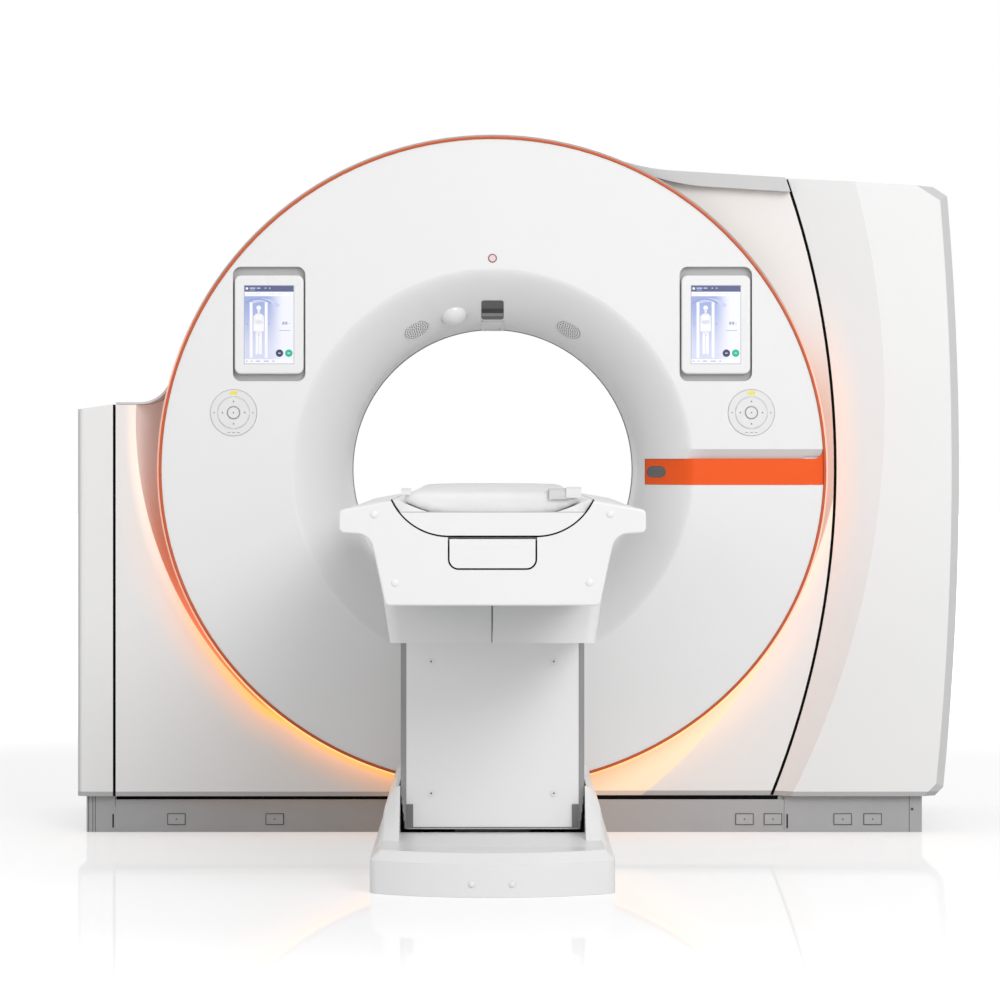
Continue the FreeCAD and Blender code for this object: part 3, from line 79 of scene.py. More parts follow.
# Runs from one level to another while a value goes from one limit to the other
def ramp(tree, value, start, end, first=0.0, last=1.0, kind="SMOOTHSTEP"):
    node = addNode(tree, "ShaderNodeMapRange", interpolation_type=kind)
    for key, number in (("From Min", start), ("From Max", end), ("To Min", first), ("To Max", last)):
        node.inputs[key].default_value = number
    tree.links.new(value, node.inputs["Value"])
    return node.outputs["Result"]


# Lays a tint over a colour by a factor
def laidOver(tree, under, factor, tint):
    mix = addNode(tree, "ShaderNodeMix", data_type="RGBA")
    feed(tree, mix.inputs["A"], under)
    feed(tree, mix.inputs["B"], tint)
    tree.links.new(factor, mix.inputs["Factor"])
    return mix.outputs["Result"]


def objectNoise(tree, scale, detail=4.0, stretch=(1, 1, 1)):
    place = addNode(tree, "ShaderNodeTexCoord")
    mapping = addNode(tree, "ShaderNodeMapping", Scale=stretch)
    noise = addNode(tree, "ShaderNodeTexNoise", Scale=scale, Detail=detail)
    tree.links.new(place.outputs["Object"], mapping.inputs["Vector"])
    tree.links.new(mapping.outputs["Vector"], noise.inputs["Vector"])
    return noise.outputs["Fac"]


# Noise mostly stays between these two levels, and is stretched from them to a range
noiseLevels = (0.3, 0.7)


def spread(tree, value, low, high):
    return ramp(tree, value, *noiseLevels, low, high, "LINEAR")


def placeOf(tree):
    place = addNode(tree, "ShaderNodeTexCoord")
    split = addNode(tree, "ShaderNodeSeparateXYZ")
    tree.links.new(place.outputs["Object"], split.inputs["Vector"])
    return split.outputs["X"], split.outputs["Y"], split.outputs["Z"]


# How far a point lies outside a circle seen from the front; below the middle it may be an oval
def outsideOf(tree, x, z, centreX, centreZ, radius, lowRadius=None):
    across = maths(tree, "SUBTRACT", x, centreX)
    rise = maths(tree, "SUBTRACT", z, centreZ)
    if lowRadius:
        below = maths(tree, "MULTIPLY", maths(tree, "MINIMUM", rise, 0.0), radius / lowRadius)
        rise = maths(tree, "ADD", maths(tree, "MAXIMUM", rise, 0.0), below)
    square = maths(tree, "ADD", maths(tree, "POWER", across, 2.0), maths(tree, "POWER", rise, 2.0))
    return maths(tree, "SUBTRACT", maths(tree, "SQRT", square), radius)


def addBump(tree, shader, height, strength, distance):
    bump = addNode(tree, "ShaderNodeBump", Strength=strength, Distance=distance)
    tree.links.new(height, bump.inputs["Height"])
    tree.links.new(bump.outputs["Normal"], shader.inputs["Normal"])


def dimmed(tint, share):
    return [c * share for c in tint]


# Smooth moulded plastic: faint mottling, a fine orange peel and uneven gloss
def mouldedPlastic(name, tint, roughness=0.34, peel=0.05, mottle=0.02, coat=0.0):
    material, tree, shader = newMaterial(name)
    broad = objectNoise(tree, 2.3, 3)
    tree.links.new(laidOver(tree, dimmed(tint, 1 - mottle), broad, tint), shader.inputs["Base Color"])
    tree.links.new(spread(tree, objectNoise(tree, 5.5), roughness - 0.05, roughness + 0.05), shader.inputs["Roughness"])
    addBump(tree, shader, objectNoise(tree, 260, 2), peel, 0.001)
    shader.inputs["Coat Weight"].default_value = coat
    shader.inputs["Coat Roughness"].default_value = 0.12
    return material


# Textured panel plastic or powder coat: a close grain in colour and height
def grainedPanel(name, tint, roughness=0.55, grain=0.25, metal=0.0, scale=620):
    material, tree, shader = newMaterial(name)
    fine = objectNoise(tree, scale, 3)
    broad = spread(tree, objectNoise(tree, 4, 5), 0.0, 1.0)
    tree.links.new(laidOver(tree, dimmed(tint, 0.9), broad, tint), shader.inputs["Base Color"])
    tree.links.new(spread(tree, fine, roughness - 0.08, roughness + 0.08), shader.inputs["Roughness"])
    addBump(tree, shader, fine, grain, 0.0008)
    shader.inputs["Metallic"].default_value = metal
    return material


# Ground or brushed metal: noise drawn out along one axis
def brushedMetal(name, tint, roughness=0.3, along=(1, 60, 60)):
    material, tree, shader = newMaterial(name)
    streaks = objectNoise(tree, 14, 6, along)
    tree.links.new(laidOver(tree, dimmed(tint, 0.78), spread(tree, streaks, 0, 1), tint), shader.inputs["Base Color"])
    tree.links.new(spread(tree, streaks, roughness - 0.07, roughness + 0.1), shader.inputs["Roughness"])
    addBump(tree, shader, streaks, 0.12, 0.0006)
    shader.inputs["Metallic"].default_value = 1.0
    return material


# A lit display or print: part of its tint shines by itself
def litTint(name, tint, shine=0.25, roughness=0.3):
    material, tree, shader = newMaterial(name)
    broad = objectNoise(tree, 30, 2)
    own = dimmed(tint, 1 - shine)
    tree.links.new(laidOver(tree, dimmed(own, 0.97), broad, own), shader.inputs["Base Color"])
    shader.inputs["Emission Color"].default_value = (*dimmed(tint, shine), 1)
    shader.inputs["Emission Strength"].default_value = 1.0
    shader.inputs["Roughness"].default_value = roughness
    return material


dark = (0.0, 0.0, 0.0)
guide = {"unlitZ": (1.25, 1.6), "unlitTint": (0.5, 0.47, 0.455)}


# Light-guide plastic: grey at the top, pale salmon at the sides, glowing along the disc's lower flanks
def glowPlastic(name, tint, idle, glow, bright, dim):
    material, tree, shader = newMaterial(name)
    x, y, z = placeOf(tree)
    ripple = spread(tree, objectNoise(tree, 9, 2), 0.94, 1.06)
    level = maths(tree, "MULTIPLY", ramp(tree, z, dim, bright), ripple)
    unlit = ramp(tree, z, *guide["unlitZ"])
    shown = laidOver(tree, laidOver(tree, idle, unlit, dark), level, glow)
    tree.links.new(shown, shader.inputs["Emission Color"])
    shader.inputs["Emission Strength"].default_value = 1.0
    own = laidOver(tree, dimmed(tint, 0.95), objectNoise(tree, 40, 2), tint)
    tree.links.new(laidOver(tree, own, unlit, guide["unlitTint"]), shader.inputs["Base Color"])
    shader.inputs["Roughness"].default_value = 0.4
    return material


# A moulded white opened up again: its nodes, its own colour and the place on the object
def reopened(material):
    tree, shader = material.node_tree, material.node_tree.nodes["Principled BSDF"]
    return tree, shader, shader.inputs["Base Color"].links[0].from_socket, placeOf(tree)


rim = {"z": (0.1165, 0.1145), "tint": (0.44, 0.44, 0.445)}


# Painted shade: the covers' lower rim is darkened to a grey edge
def skirtShade(tree, z, tint):
    return laidOver(tree, tint, ramp(tree, z, *rim["z"]), rim["tint"])


litFront = (-0.2, -0.3)


# The painted warm light is laid only on the covers' front
def frontOnly(tree, y):
    return ramp(tree, y, *litFront)


# Where the painted warm light changes: edges of the ring, heights, and reaches from an edge
ringEdge = {"x": 0.0, "z": isoZ, "radius": 0.930, "low": 0.884}
zones = {"pastScoop": (0.03, -0.07), "amberZ": (0.8, 0.25), "nearZ": (1.5, 1.0), "wideZ": (1.0, 0.35),
         "nearEdge": 0.004, "insideCrease": (0.0, -0.005), "scoopDepth": (0.001, 0.004), "scoopZ": (1.5, 1.15),
         "scoopTop": 0.1, "narrowZ": (1.05, 0.7), "scoopEnd": (-0.12, -0.01), "hotReach": (0.06, 0.0)}


# A moulded cover beside the light strip: its scooped side and the flat round it get the strip's warm light as painted
# light, in tints and glow
def paintedGlowCover(name, tint, flatY, crease, glow):
    material = mouldedPlastic(name, tint, 0.38, 0.05, 0.02)
    tree, shader, plain, (x, y, z) = reopened(material)
    fromRing = outsideOf(tree, x, z, *ringEdge.values())
    nearest = maths(tree, "MINIMUM", fromRing, outsideOf(tree, x, z, *crease))
    # past the scoop's end only the ring's edge counts
    along, up = glow["end"]
    past = maths(tree, "ADD", maths(tree, "MULTIPLY", x, along),
                 maths(tree, "MULTIPLY", maths(tree, "SUBTRACT", z, isoZ), up))
    before = maths(tree, "MULTIPLY", maths(tree, "SUBTRACT", nearest, fromRing), ramp(tree, past, *zones["pastScoop"]))
    edge = maths(tree, "ADD", fromRing, before)
    low = ramp(tree, z, *zones["amberZ"])
    # painted light: a narrow band beside the edge, cream above and amber below, with a wide soft halo round it
    near = maths(tree, "MULTIPLY", ramp(tree, edge, glow["nearReach"], zones["nearEdge"], 0.0, glow["near"]),
                 ramp(tree, z, *zones["nearZ"]))
    wide = maths(tree, "MULTIPLY", ramp(tree, edge, glow["wideReach"], 0.0, 0.0, glow["wide"]),
                 ramp(tree, z, *zones["wideZ"], glow["wideTop"], 1.0))
    nearTint = laidOver(tree, glow["creamTint"], low, glow["amberTint"])
    nearLight = laidOver(tree, glow["creamLight"], low, glow["amberLight"])
    flatTint = laidOver(tree, laidOver(tree, plain, wide, glow["wideTint"]), near, nearTint)
    flatLight = laidOver(tree, laidOver(tree, dark, wide, glow["wideLight"]), near, nearLight)
    # painted light on the scoop: pale salmon above, deeper where it narrows, running out into the amber band
    inside = ramp(tree, outsideOf(tree, x, z, *crease), *zones["insideCrease"], 0.0, glow["strip"])
    start, finish = zones["scoopDepth"]
    deep = maths(tree, "MAXIMUM", ramp(tree, y, flatY + start, flatY + finish), inside)
    deep = maths(tree, "MULTIPLY", deep, ramp(tree, z, *zones["scoopZ"], zones["scoopTop"], 1.0))
    narrow = ramp(tree, z, *zones["narrowZ"])
    end = ramp(tree, past, *zones["scoopEnd"])
    hot = ramp(tree, fromRing, *zones["hotReach"])
    scoopTint = laidOver(tree, laidOver(tree, glow["scoopTint"], hot, glow["scoopHot"]), narrow, glow["narrowTint"])
    scoopTint = laidOver(tree, scoopTint, end, nearTint)
    scoopLight = laidOver(tree, laidOver(tree, glow["scoopLight"], narrow, glow["narrowLight"]), end, nearLight)
    tree.links.new(skirtShade(tree, z, laidOver(tree, flatTint, deep, scoopTint)), shader.inputs["Base Color"])
    lit = laidOver(tree, flatLight, deep, scoopLight)
    tree.links.new(laidOver(tree, dark, frontOnly(tree, y), lit), shader.inputs["Emission Color"])
    shader.inputs["Emission Strength"].default_value = 1.0
    return material


whites = {"disc": (0.84, 0.84, 0.84), "cover": (0.84, 0.838, 0.835), "table": (0.79, 0.79, 0.79)}

# The disc's white: painted shade greys the docks round the tablets
dockShade = {"x": 0.622, "z": 1.424, "halfX": 0.108, "halfZ": 0.17, "y": (-0.5392, -0.5352), "tint": (0.5, 0.5, 0.5)}
discWhite = mouldedPlastic("disc white", whites["disc"], 0.36, 0.03, 0.012)
tree, shader, plain, (x, y, z) = reopened(discWhite)
aside = maths(tree, "ABSOLUTE", maths(tree, "SUBTRACT", maths(tree, "ABSOLUTE", x), dockShade["x"]))
above = maths(tree, "ABSOLUTE", maths(tree, "SUBTRACT", z, dockShade["z"]))
lined = maths(tree, "MULTIPLY", maths(tree, "LESS_THAN", aside, dockShade["halfX"]),
              maths(tree, "LESS_THAN", above, dockShade["halfZ"]))
lined = maths(tree, "MULTIPLY", lined, ramp(tree, y, *dockShade["y"]))
plain = laidOver(tree, plain, lined, dockShade["tint"])
# painted shade also greys the sloping underside of the upper half, over the band
ledge = {"x": (0.5, 0.62), "z": (1.046, 1.0768), "front": -0.5396, "tint": (0.66, 0.66, 0.66)}
under = maths(tree, "MULTIPLY", ramp(tree, x, *ledge["x"]), maths(tree, "GREATER_THAN", y, ledge["front"]))
under = maths(tree, "MULTIPLY", under, maths(tree, "GREATER_THAN", z, ledge["z"][0]))
under = maths(tree, "MULTIPLY", under, maths(tree, "LESS_THAN", z, ledge["z"][1]))
tree.links.new(laidOver(tree, plain, under, ledge["tint"]), shader.inputs["Base Color"])

# The left side cover's white: its rounded front corner, where it turns away, is greyed by painted shade
turned = {"x": (-1.149, -1.162), "y": (-0.435, -0.455), "tint": (0.6, 0.6, 0.6)}
cornerShadedWhite = mouldedPlastic("left side cover white", whites["cover"], 0.38, 0.05, 0.02)
tree, shader, plain, (x, y, z) = reopened(cornerShadedWhite)
rounded = maths(tree, "MULTIPLY", ramp(tree, x, *turned["x"]), ramp(tree, y, *turned["y"]))
plain = laidOver(tree, plain, rounded, turned["tint"])
tree.links.new(skirtShade(tree, z, plain), shader.inputs["Base Color"])

# The right side cover's white: a last trace of the warm light beside the joint, painted as light, and painted shade
# that greys its sloping flank
trace = {"arc": (-1.494, 1.024, 2.458), "reach": (0.09, 0.0), "rise": (0.6, 1.0), "fall": (1.6, 1.2),
         "tint": (0.88, 0.8, 0.75), "light": (0.12, 0.06, 0.04)}
flankShadeZone = {"y": (-0.4698, -0.4688), "x": (1.15, 1.17), "tint": (0.6, 0.6, 0.603)}
sideCoverPaintedLight = mouldedPlastic("side cover white", whites["cover"], 0.38, 0.05, 0.02)
tree, shader, plain, (x, y, z) = reopened(sideCoverPaintedLight)
beside = ramp(tree, outsideOf(tree, x, z, *trace["arc"]), *trace["reach"])
height = maths(tree, "MULTIPLY", ramp(tree, z, *trace["rise"]), ramp(tree, z, *trace["fall"]))
warmth = maths(tree, "MULTIPLY", maths(tree, "MULTIPLY", beside, height), frontOnly(tree, y))
flankShade = maths(tree, "MULTIPLY", ramp(tree, y, *flankShadeZone["y"]), ramp(tree, x, *flankShadeZone["x"]))
tinted = laidOver(tree, laidOver(tree, plain, warmth, trace["tint"]), flankShade, flankShadeZone["tint"])
tree.links.new(skirtShade(tree, z, tinted), shader.inputs["Base Color"])
tree.links.new(laidOver(tree, dark, warmth, trace["light"]), shader.inputs["Emission Color"])
shader.inputs["Emission Strength"].default_value = 1.0

# The two front covers beside the ring, with the tints and glow of their painted warm light
leftGlow = {
    "near": 1.0, "nearReach": 0.036, "wide": 0.8, "wideReach": 0.12, "wideTop": 0.12, "end": (0.766, -0.643),
    "creamTint": (0.88, 0.81, 0.74), "creamLight": (0.26, 0.17, 0.12),
    "amberTint": (0.88, 0.6, 0.2), "amberLight": (0.45, 0.2, 0.03),
    "wideTint": (0.88, 0.7, 0.58), "wideLight": (0.28, 0.1, 0.05), "strip": 0.0,
    "scoopTint": (0.84, 0.79, 0.775), "scoopHot": (0.84, 0.71, 0.66), "scoopLight": (0.07, 0.05, 0.045),
    "narrowTint": (0.72, 0.5, 0.42), "narrowLight": (0.03, 0.0, 0.0),
}
rightGlow = {
    "near": 0.85, "nearReach": 0.034, "wide": 0.5, "wideReach": 0.15, "wideTop": 0.3, "end": (-0.4226, -0.9063),
    "creamTint": (0.88, 0.82, 0.74), "creamLight": (0.2, 0.13, 0.07),
    "amberTint": (0.88, 0.76, 0.6), "amberLight": (0.24, 0.15, 0.09),
    "wideTint": (0.88, 0.8, 0.72), "wideLight": (0.13, 0.09, 0.07), "strip": 1.0,
    "scoopTint": (0.74, 0.56, 0.5), "scoopHot": (0.76, 0.48, 0.38), "scoopLight": (0.02, 0.01, 0.01),
    "narrowTint": (0.66, 0.46, 0.36), "narrowLight": (0.04, 0.0, 0.0),
}
leftLit = paintedGlowCover("left cover white", whites["cover"], -0.470, (0.080, 1.1572, 1.080), leftGlow)
rightLit = paintedGlowCover("right cover white", whites["cover"], -0.430, (-0.4975, 1.2867, 1.500), rightGlow)
glowAmber = glowPlastic("amber light guide", (0.84, 0.62, 0.54), (0.4, 0.19, 0.14), (1.0, 0.55, 0.12), 0.28, 0.7)
# The light channel is no lamp: its salmon glow and tint are painted light from the strip
channelPaintedGlow = glowPlastic("light channel", (0.84, 0.72, 0.68), (0.1, 0.06, 0.05), (0.8, 0.25, 0.1), 0.3, 1.1)

# Plain finishes
coverWhite = mouldedPlastic("cover white", whites["cover"], 0.38, 0.05, 0.02)
tableWhite = mouldedPlastic("table white", whites["table"], 0.33, 0.04, 0.015)
shellWhite = mouldedPlastic("lower shell white", (0.82, 0.82, 0.82), 0.4, 0.06, 0.02)
lipGrey = mouldedPlastic("top cover grey", (0.6, 0.6, 0.6), 0.4, 0.05, 0.03)
ringOrange = mouldedPlastic("accent orange", (0.6, 0.1, 0.02), 0.34, 0.02, 0.06)
bandOrange = mouldedPlastic("band orange", (0.92, 0.105, 0.008), 0.42, 0.02, 0.04)
bandOrange.node_tree.nodes["Principled BSDF"].inputs["Specular IOR Level"].default_value = 0.25
plinthGrey = grainedPanel("plinth grey", (0.43, 0.43, 0.435), 0.5, 0.15)
accessGrey = grainedPanel("access plate grey", (0.44, 0.44, 0.445), 0.5, 0.15)
stripGrey = grainedPanel("side strip grey", (0.3, 0.3, 0.305), 0.42, 0.1)
seamGrey = grainedPanel("seam grey", (0.07, 0.07, 0.072), 0.6, 0.1)
guideGrey = grainedPanel("corner guide grey", (0.17, 0.17, 0.175), 0.5, 0.12)
gapBlack = grainedPanel("joint black", (0.003, 0.003, 0.0035), 0.85, 0.2)
gapBlack.node_tree.nodes["Principled BSDF"].inputs["Specular IOR Level"].default_value = 0.1
frameGrey = grainedPanel("frame grey", (0.28, 0.3, 0.32), 0.5, 0.2)
castIron = grainedPanel("cast iron", (0.09, 0.09, 0.095), 0.62, 0.7, 0.4, 180)
beltBlack = grainedPanel("belt black", (0.03, 0.03, 0.03), 0.75, 0.4)
groundSteel = brushedMetal("ground steel", (0.6, 0.6, 0.62))
turnedAlloy = brushedMetal("turned alloy", (0.72, 0.72, 0.73), 0.28, (60, 1, 60))
chromeRod = brushedMetal("chromed rod", (0.82, 0.82, 0.83), 0.12, (1, 1, 60))
slipBrass = brushedMetal("slip ring brass", (0.72, 0.55, 0.26), 0.25, (1, 60, 1))

finishes = {
    discWhite: ["front_cover"],
    coverWhite: ["rear_cover", "bore_liner"],
    cornerShadedWhite: ["left_side_cover"],
    leftLit: ["left_front_cover"],
    rightLit: ["right_front_cover"],
    sideCoverPaintedLight: ["right_side_cover"],
    channelPaintedGlow: ["light_channel"],
    tableWhite: ["front_cowl", "release_flap", "side_rails", "tabletop", "tabletop_end_cap", "pedestal_panel",
                 "table_foot_cover"],
    shellWhite: ["left_lower_shell", "right_lower_shell"],
    lipGrey: ["top_cover"],
    ringOrange: ["accent_ring"],
    bandOrange: ["side_band"],
    glowAmber: ["light_ring"],
    plinthGrey: ["left_plinth", "right_plinth", "middle_plinths"],
    accessGrey: ["access_plates"],
    stripGrey: ["pedestal_side_plates"],
    frameGrey: ["gantry_base_frame", "bearing_stand", "table_frame", "table_floor_plate"],
    castIron: ["counterweights", "drive_motor"],
    beltBlack: ["drive_belt", "lift_cylinders"],
    groundSteel: ["fixed_column", "column_sleeve", "bearing_inner_ring", "bearing_outer_ring", "collimator"],
    turnedAlloy: ["motor_pulley", "detector_arc"],
    chromeRod: ["lift_rods"],
    slipBrass: ["slip_ring"],
    mouldedPlastic("tablet white", (0.86, 0.86, 0.865), 0.3, 0.02): ["left_tablet", "right_tablet"],
    mouldedPlastic("pad white", (0.8, 0.8, 0.8), 0.45, 0.05): ["pad_plates", "left_rocker_ring",
                                                                "right_rocker_ring"],
    mouldedPlastic("button grey", (0.8, 0.8, 0.8), 0.4, 0.05): ["left_centre_button", "right_centre_button"],
    mouldedPlastic("dome white", (0.82, 0.82, 0.82), 0.22, 0.0): ["sensor_dome"],
    mouldedPlastic("grille white", (0.84, 0.84, 0.84), 0.5, 0.05): ["speaker_grilles"],
    mouldedPlastic("indicator lens", (0.84, 0.68, 0.7), 0.2, 0.0): ["indicator_lamp"],
    mouldedPlastic("window grey", (0.12, 0.12, 0.125), 0.14, 0.0, 0.05, 0.4): ["laser_windows"],
    grainedPanel("rotor paint", (0.5, 0.52, 0.54), 0.4, 0.1): ["rotor_drum"],
    grainedPanel("tube housing paint", (0.66, 0.66, 0.64), 0.38, 0.1): ["xray_tube"],
    grainedPanel("module paint", (0.55, 0.57, 0.58), 0.45, 0.15): ["generator"],
    grainedPanel("cooler paint", (0.16, 0.17, 0.18), 0.5, 0.15): ["heat_exchanger"],
}
for finish, names in finishes.items():
    for name in names:
        for slot in nodes[name].material_slots:
            slot.material = finish
print("finishes laid on the fixed parts")


# Turns a finished bmesh into a piece on its body
def finishMesh(name, bm, material, body):
    bmesh.ops.remove_doubles(bm, verts=bm.verts, dist=1e-6)
    bmesh.ops.recalc_face_normals(bm, faces=bm.faces)
    mesh = bpy.data.meshes.new(name)
    bm.to_mesh(mesh)
    bm.free()
    mesh.materials.append(material)
    mesh.shade_smooth()
    mesh.set_sharp_from_angle(angle=math.radians(35))
    piece = bpy.data.objects.new(name, mesh)
    scene.collection.objects.link(piece)
    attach(piece, body)


def millimetres(*values):
    return [v / 1000 for v in values]


# A box between two corners in millimetres; its edges along one axis may be rounded
def addBox(bm, low, high, radius=0.0, along=1, segments=5):
    low, high = Vector(millimetres(*low)), Vector(millimetres(*high))
    size = high - low
    made = bmesh.ops.create_cube(bm, size=1, matrix=Matrix.Translation((low + high) / 2) @ Matrix.Diagonal((*size, 1)))
    if radius:
        edges = {e for v in made["verts"] for e in v.link_edges}
        picked = [e for e in edges if abs((e.verts[0].co - e.verts[1].co).normalized()[along]) > 0.99]
        bmesh.ops.bevel(bm, geom=picked, offset=radius / 1000, segments=segments, profile=0.5, affect="EDGES",
                        material=-1)


# A piece that is one box
def boxPiece(name, box, material, body):
    bm = bmesh.new()
    addBox(bm, **box)
    finishMesh(name, bm, material, body)


# A disc across Y in millimetres
def addDisc(bm, x, z, radius, front, back, segments=32):
    x, z, radius, front, back = millimetres(x, z, radius, front, back)
    turn = Matrix.Translation((x, (front + back) / 2, z)) @ Matrix.Rotation(math.pi / 2, 4, "X")
    bmesh.ops.create_cone(bm, cap_ends=True, segments=segments, radius1=radius, radius2=radius,
                          depth=back - front, matrix=turn)


# A ring, or part of one, across Y: a small rectangle spun about the axis
def addRing(bm, x, z, inner, outer, front, back, fromDeg=0, toDeg=360, steps=48):
    x, z, inner, outer, front, back = millimetres(x, z, inner, outer, front, back)
    centre = Vector((x, 0, z))
    turn = Matrix.Rotation(-math.radians(fromDeg), 3, "Y")
    corners = [(inner, front), (outer, front), (outer, back), (inner, back)]
    verts = [bm.verts.new(centre + turn @ Vector((r, y, 0))) for r, y in corners]
    full = abs(toDeg - fromDeg - 360) < 0.01
    if full:
        geom = [bm.edges.new((verts[i], verts[(i + 1) % 4])) for i in range(4)]
    else:
        geom = [bm.faces.new(verts)]
    bmesh.ops.spin(bm, geom=geom, cent=centre, axis=(0, 1, 0), angle=-math.radians(toDeg - fromDeg), steps=steps,
                   use_merge=full)


# A low domed cap facing the front
def addCap(bm, x, y, z, radius, height):
    x, y, z, radius, height = millimetres(x, y, z, radius, height)
    turn = Matrix.Translation((x, y, z)) @ Matrix.Diagonal((radius, height, radius, 1))
    turn = turn @ Matrix.Rotation(math.pi / 2, 4, "X")
    made = bmesh.ops.create_uvsphere(bm, u_segments=28, v_segments=14, radius=1, matrix=turn)
    hidden = [v for v in made["verts"] if v.co.y > y + 1e-5]
    rim = [v for v in made["verts"] if v.co.y <= y + 1e-5]
    bmesh.ops.delete(bm, geom=hidden, context="VERTS")
    edges = {e for v in rim if v.is_valid for e in v.link_edges if e.is_boundary}
    bmesh.ops.edgeloop_fill(bm, edges=list(edges))


# Dark joints: rubber strips set just behind the gaps between the covers
leftJoint = {"x": (-1063.9, -1056.1), "strips": (((-467.5, -460), (103, 1200)), ((418, 426), (103, 1200)),
                                                 ((-459, 417), (1190, 1197)))}
bm = bmesh.new()
for (front, back), (low, high) in leftJoint["strips"]:
    addBox(bm, (leftJoint["x"][0], front, low), (leftJoint["x"][1], back, high))
finishMesh("leftJointStrip", bm, gapBlack, "stand")
rightJoint = {"x": -1494, "z": 1024, "radius": (2454.1, 2461.9), "y": (-428, -420), "turn": (-22.3, 19.2), "steps": 64}
bm = bmesh.new()
addRing(bm, rightJoint["x"], rightJoint["z"], *rightJoint["radius"], *rightJoint["y"], *rightJoint["turn"],
        rightJoint["steps"])
finishMesh("rightJointStrip", bm, gapBlack, "stand")
skirt = {"low": (-1056, -436.5, 91.4), "high": (802, -434, 102.6)}
boxPiece("skirtStrip", skirt, gapBlack, "stand")

# Posts behind the left side cover's rounded corners, where its thin wall leaves a slit
corner = {"x": -1140, "y": ((-446, 225), (406, 135)), "low": 106, "high": 1184,
          "outer": (23.6, (-16, -8, 0, 8, 16)), "inner": (19, (16, 0, -16))}
bm = bmesh.new()
for y, facing in corner["y"]:
    foot = []
    for reach, turns in (corner["outer"], corner["inner"]):
        for turn in turns:
            angle = math.radians(facing + turn)
            place = (corner["x"] + reach * math.cos(angle), y + reach * math.sin(angle), corner["low"])
            foot.append(bm.verts.new(millimetres(*place)))
    grown = bmesh.ops.extrude_face_region(bm, geom=[bm.faces.new(foot)])["geom"]
    bmesh.ops.translate(bm, verts=[part for part in grown if isinstance(part, bmesh.types.BMVert)],
                        vec=millimetres(0, 0, corner["high"] - corner["low"]))
finishMesh("cornerPosts", bm, cornerShadedWhite, "stand")

# A thin grey ring round the middle of the bore's liner
linerBand = {"radius": (408.9, 410.4), "y": (36, 86), "steps": 128}
bm = bmesh.new()
addRing(bm, 0, axisZ, *linerBand["radius"], *linerBand["y"], steps=linerBand["steps"])
finishMesh("linerGreyBand", bm, guideGrey, "stand")

# Seams of the plinth, outlines of its access plates, and slots
plinth = {"seamY": (-440.4, -439), "seamZ": (0.5, 102.5), "seams": (-1135, -1123, -1116, 1171), "seamHalf": 0.8,
          "plates": (-888, -612, 708, 788, 984, 1068), "plateZ": 36, "plateY": (-442.4, -441),
          "edges": ((0, 15, 25.2, 1), (0, -15, 25.2, 1), (24.5, 0, 1, 15), (-24.5, 0, 1, 15)),
          "screw": (2, -443.4, -442, 12), "hole": (1179, 64, 4, -440.4, -439, 20),
          "slots": ((-1066, 12, 50), (828, 10, 50)), "slotY": (-440.5, -439), "slotHalf": 2}
bm = bmesh.new()
front, back = plinth["seamY"]
for x in plinth["seams"]:
    addBox(bm, (x - plinth["seamHalf"], front, plinth["seamZ"][0]), (x + plinth["seamHalf"], back, plinth["seamZ"][1]))
front, back = plinth["plateY"]
for x in plinth["plates"]:
    for dx, dz, wide, high in plinth["edges"]:
        z = plinth["plateZ"] + dz
        addBox(bm, (x + dx - wide, front, z - high), (x + dx + wide, back, z + high))
    addDisc(bm, x, plinth["plateZ"], *plinth["screw"])
addDisc(bm, *plinth["hole"])
finishMesh("plinthSeams", bm, seamGrey, "stand")
bm = bmesh.new()
front, back = plinth["slotY"]
for x, low, high in plinth["slots"]:
    addBox(bm, (x - plinth["slotHalf"], front, low), (x + plinth["slotHalf"], back, high))
finishMesh("plinthSlots", bm, gapBlack, "stand")

# A block that closes the hole between the upper half's ledge and the band, and a tick across the accent ring
filler = {"low": (860, -526, 1040), "high": (914, -521, 1062), "radius": 1.5}
# the block's grey is the ledge's painted shade
boxPiece("ledgeFiller", filler, mouldedPlastic("ledge grey", (0.66, 0.66, 0.66), 0.4, 0.03), "stand")
tick = {"low": (-3.4, -544.4, axisZ + 922), "high": (-2, -522, axisZ + 930.4)}
boxPiece("ringTick", tick, guideGrey, "stand")
print("joints and plinth lined")

# The seam round the tabletop and the gap round the release flap
seam = {"front": -2738.5, "back": -2734, "flat": 97, "low": 875, "half": 228, "top": 959, "inset": (0.3, 3.2),
        "through": (0.62, 0.295), "steps": 28}


# Middle, radius and the two end directions of the round part of the seam, from three points on it
def seamRound():
    across, rise = seam["through"]
    first, last = Vector((seam["flat"], seam["low"])), Vector((seam["half"], seam["top"]))
    through = Vector((seam["flat"] + across * (seam["half"] - seam["flat"]),
                      seam["low"] + rise * (seam["top"] - seam["low"])))
    a, b = through - first, last - first
    scale = 2 * (a.x * b.y - a.y * b.x)
    middle = Vector((b.y * a.length_squared - a.y * b.length_squared,
                     a.x * b.length_squared - b.x * a.length_squared)) / scale
    turns = [math.degrees(math.atan2(p.y, p.x)) for p in (-middle, b - middle)]
    return first + middle, middle.length, turns


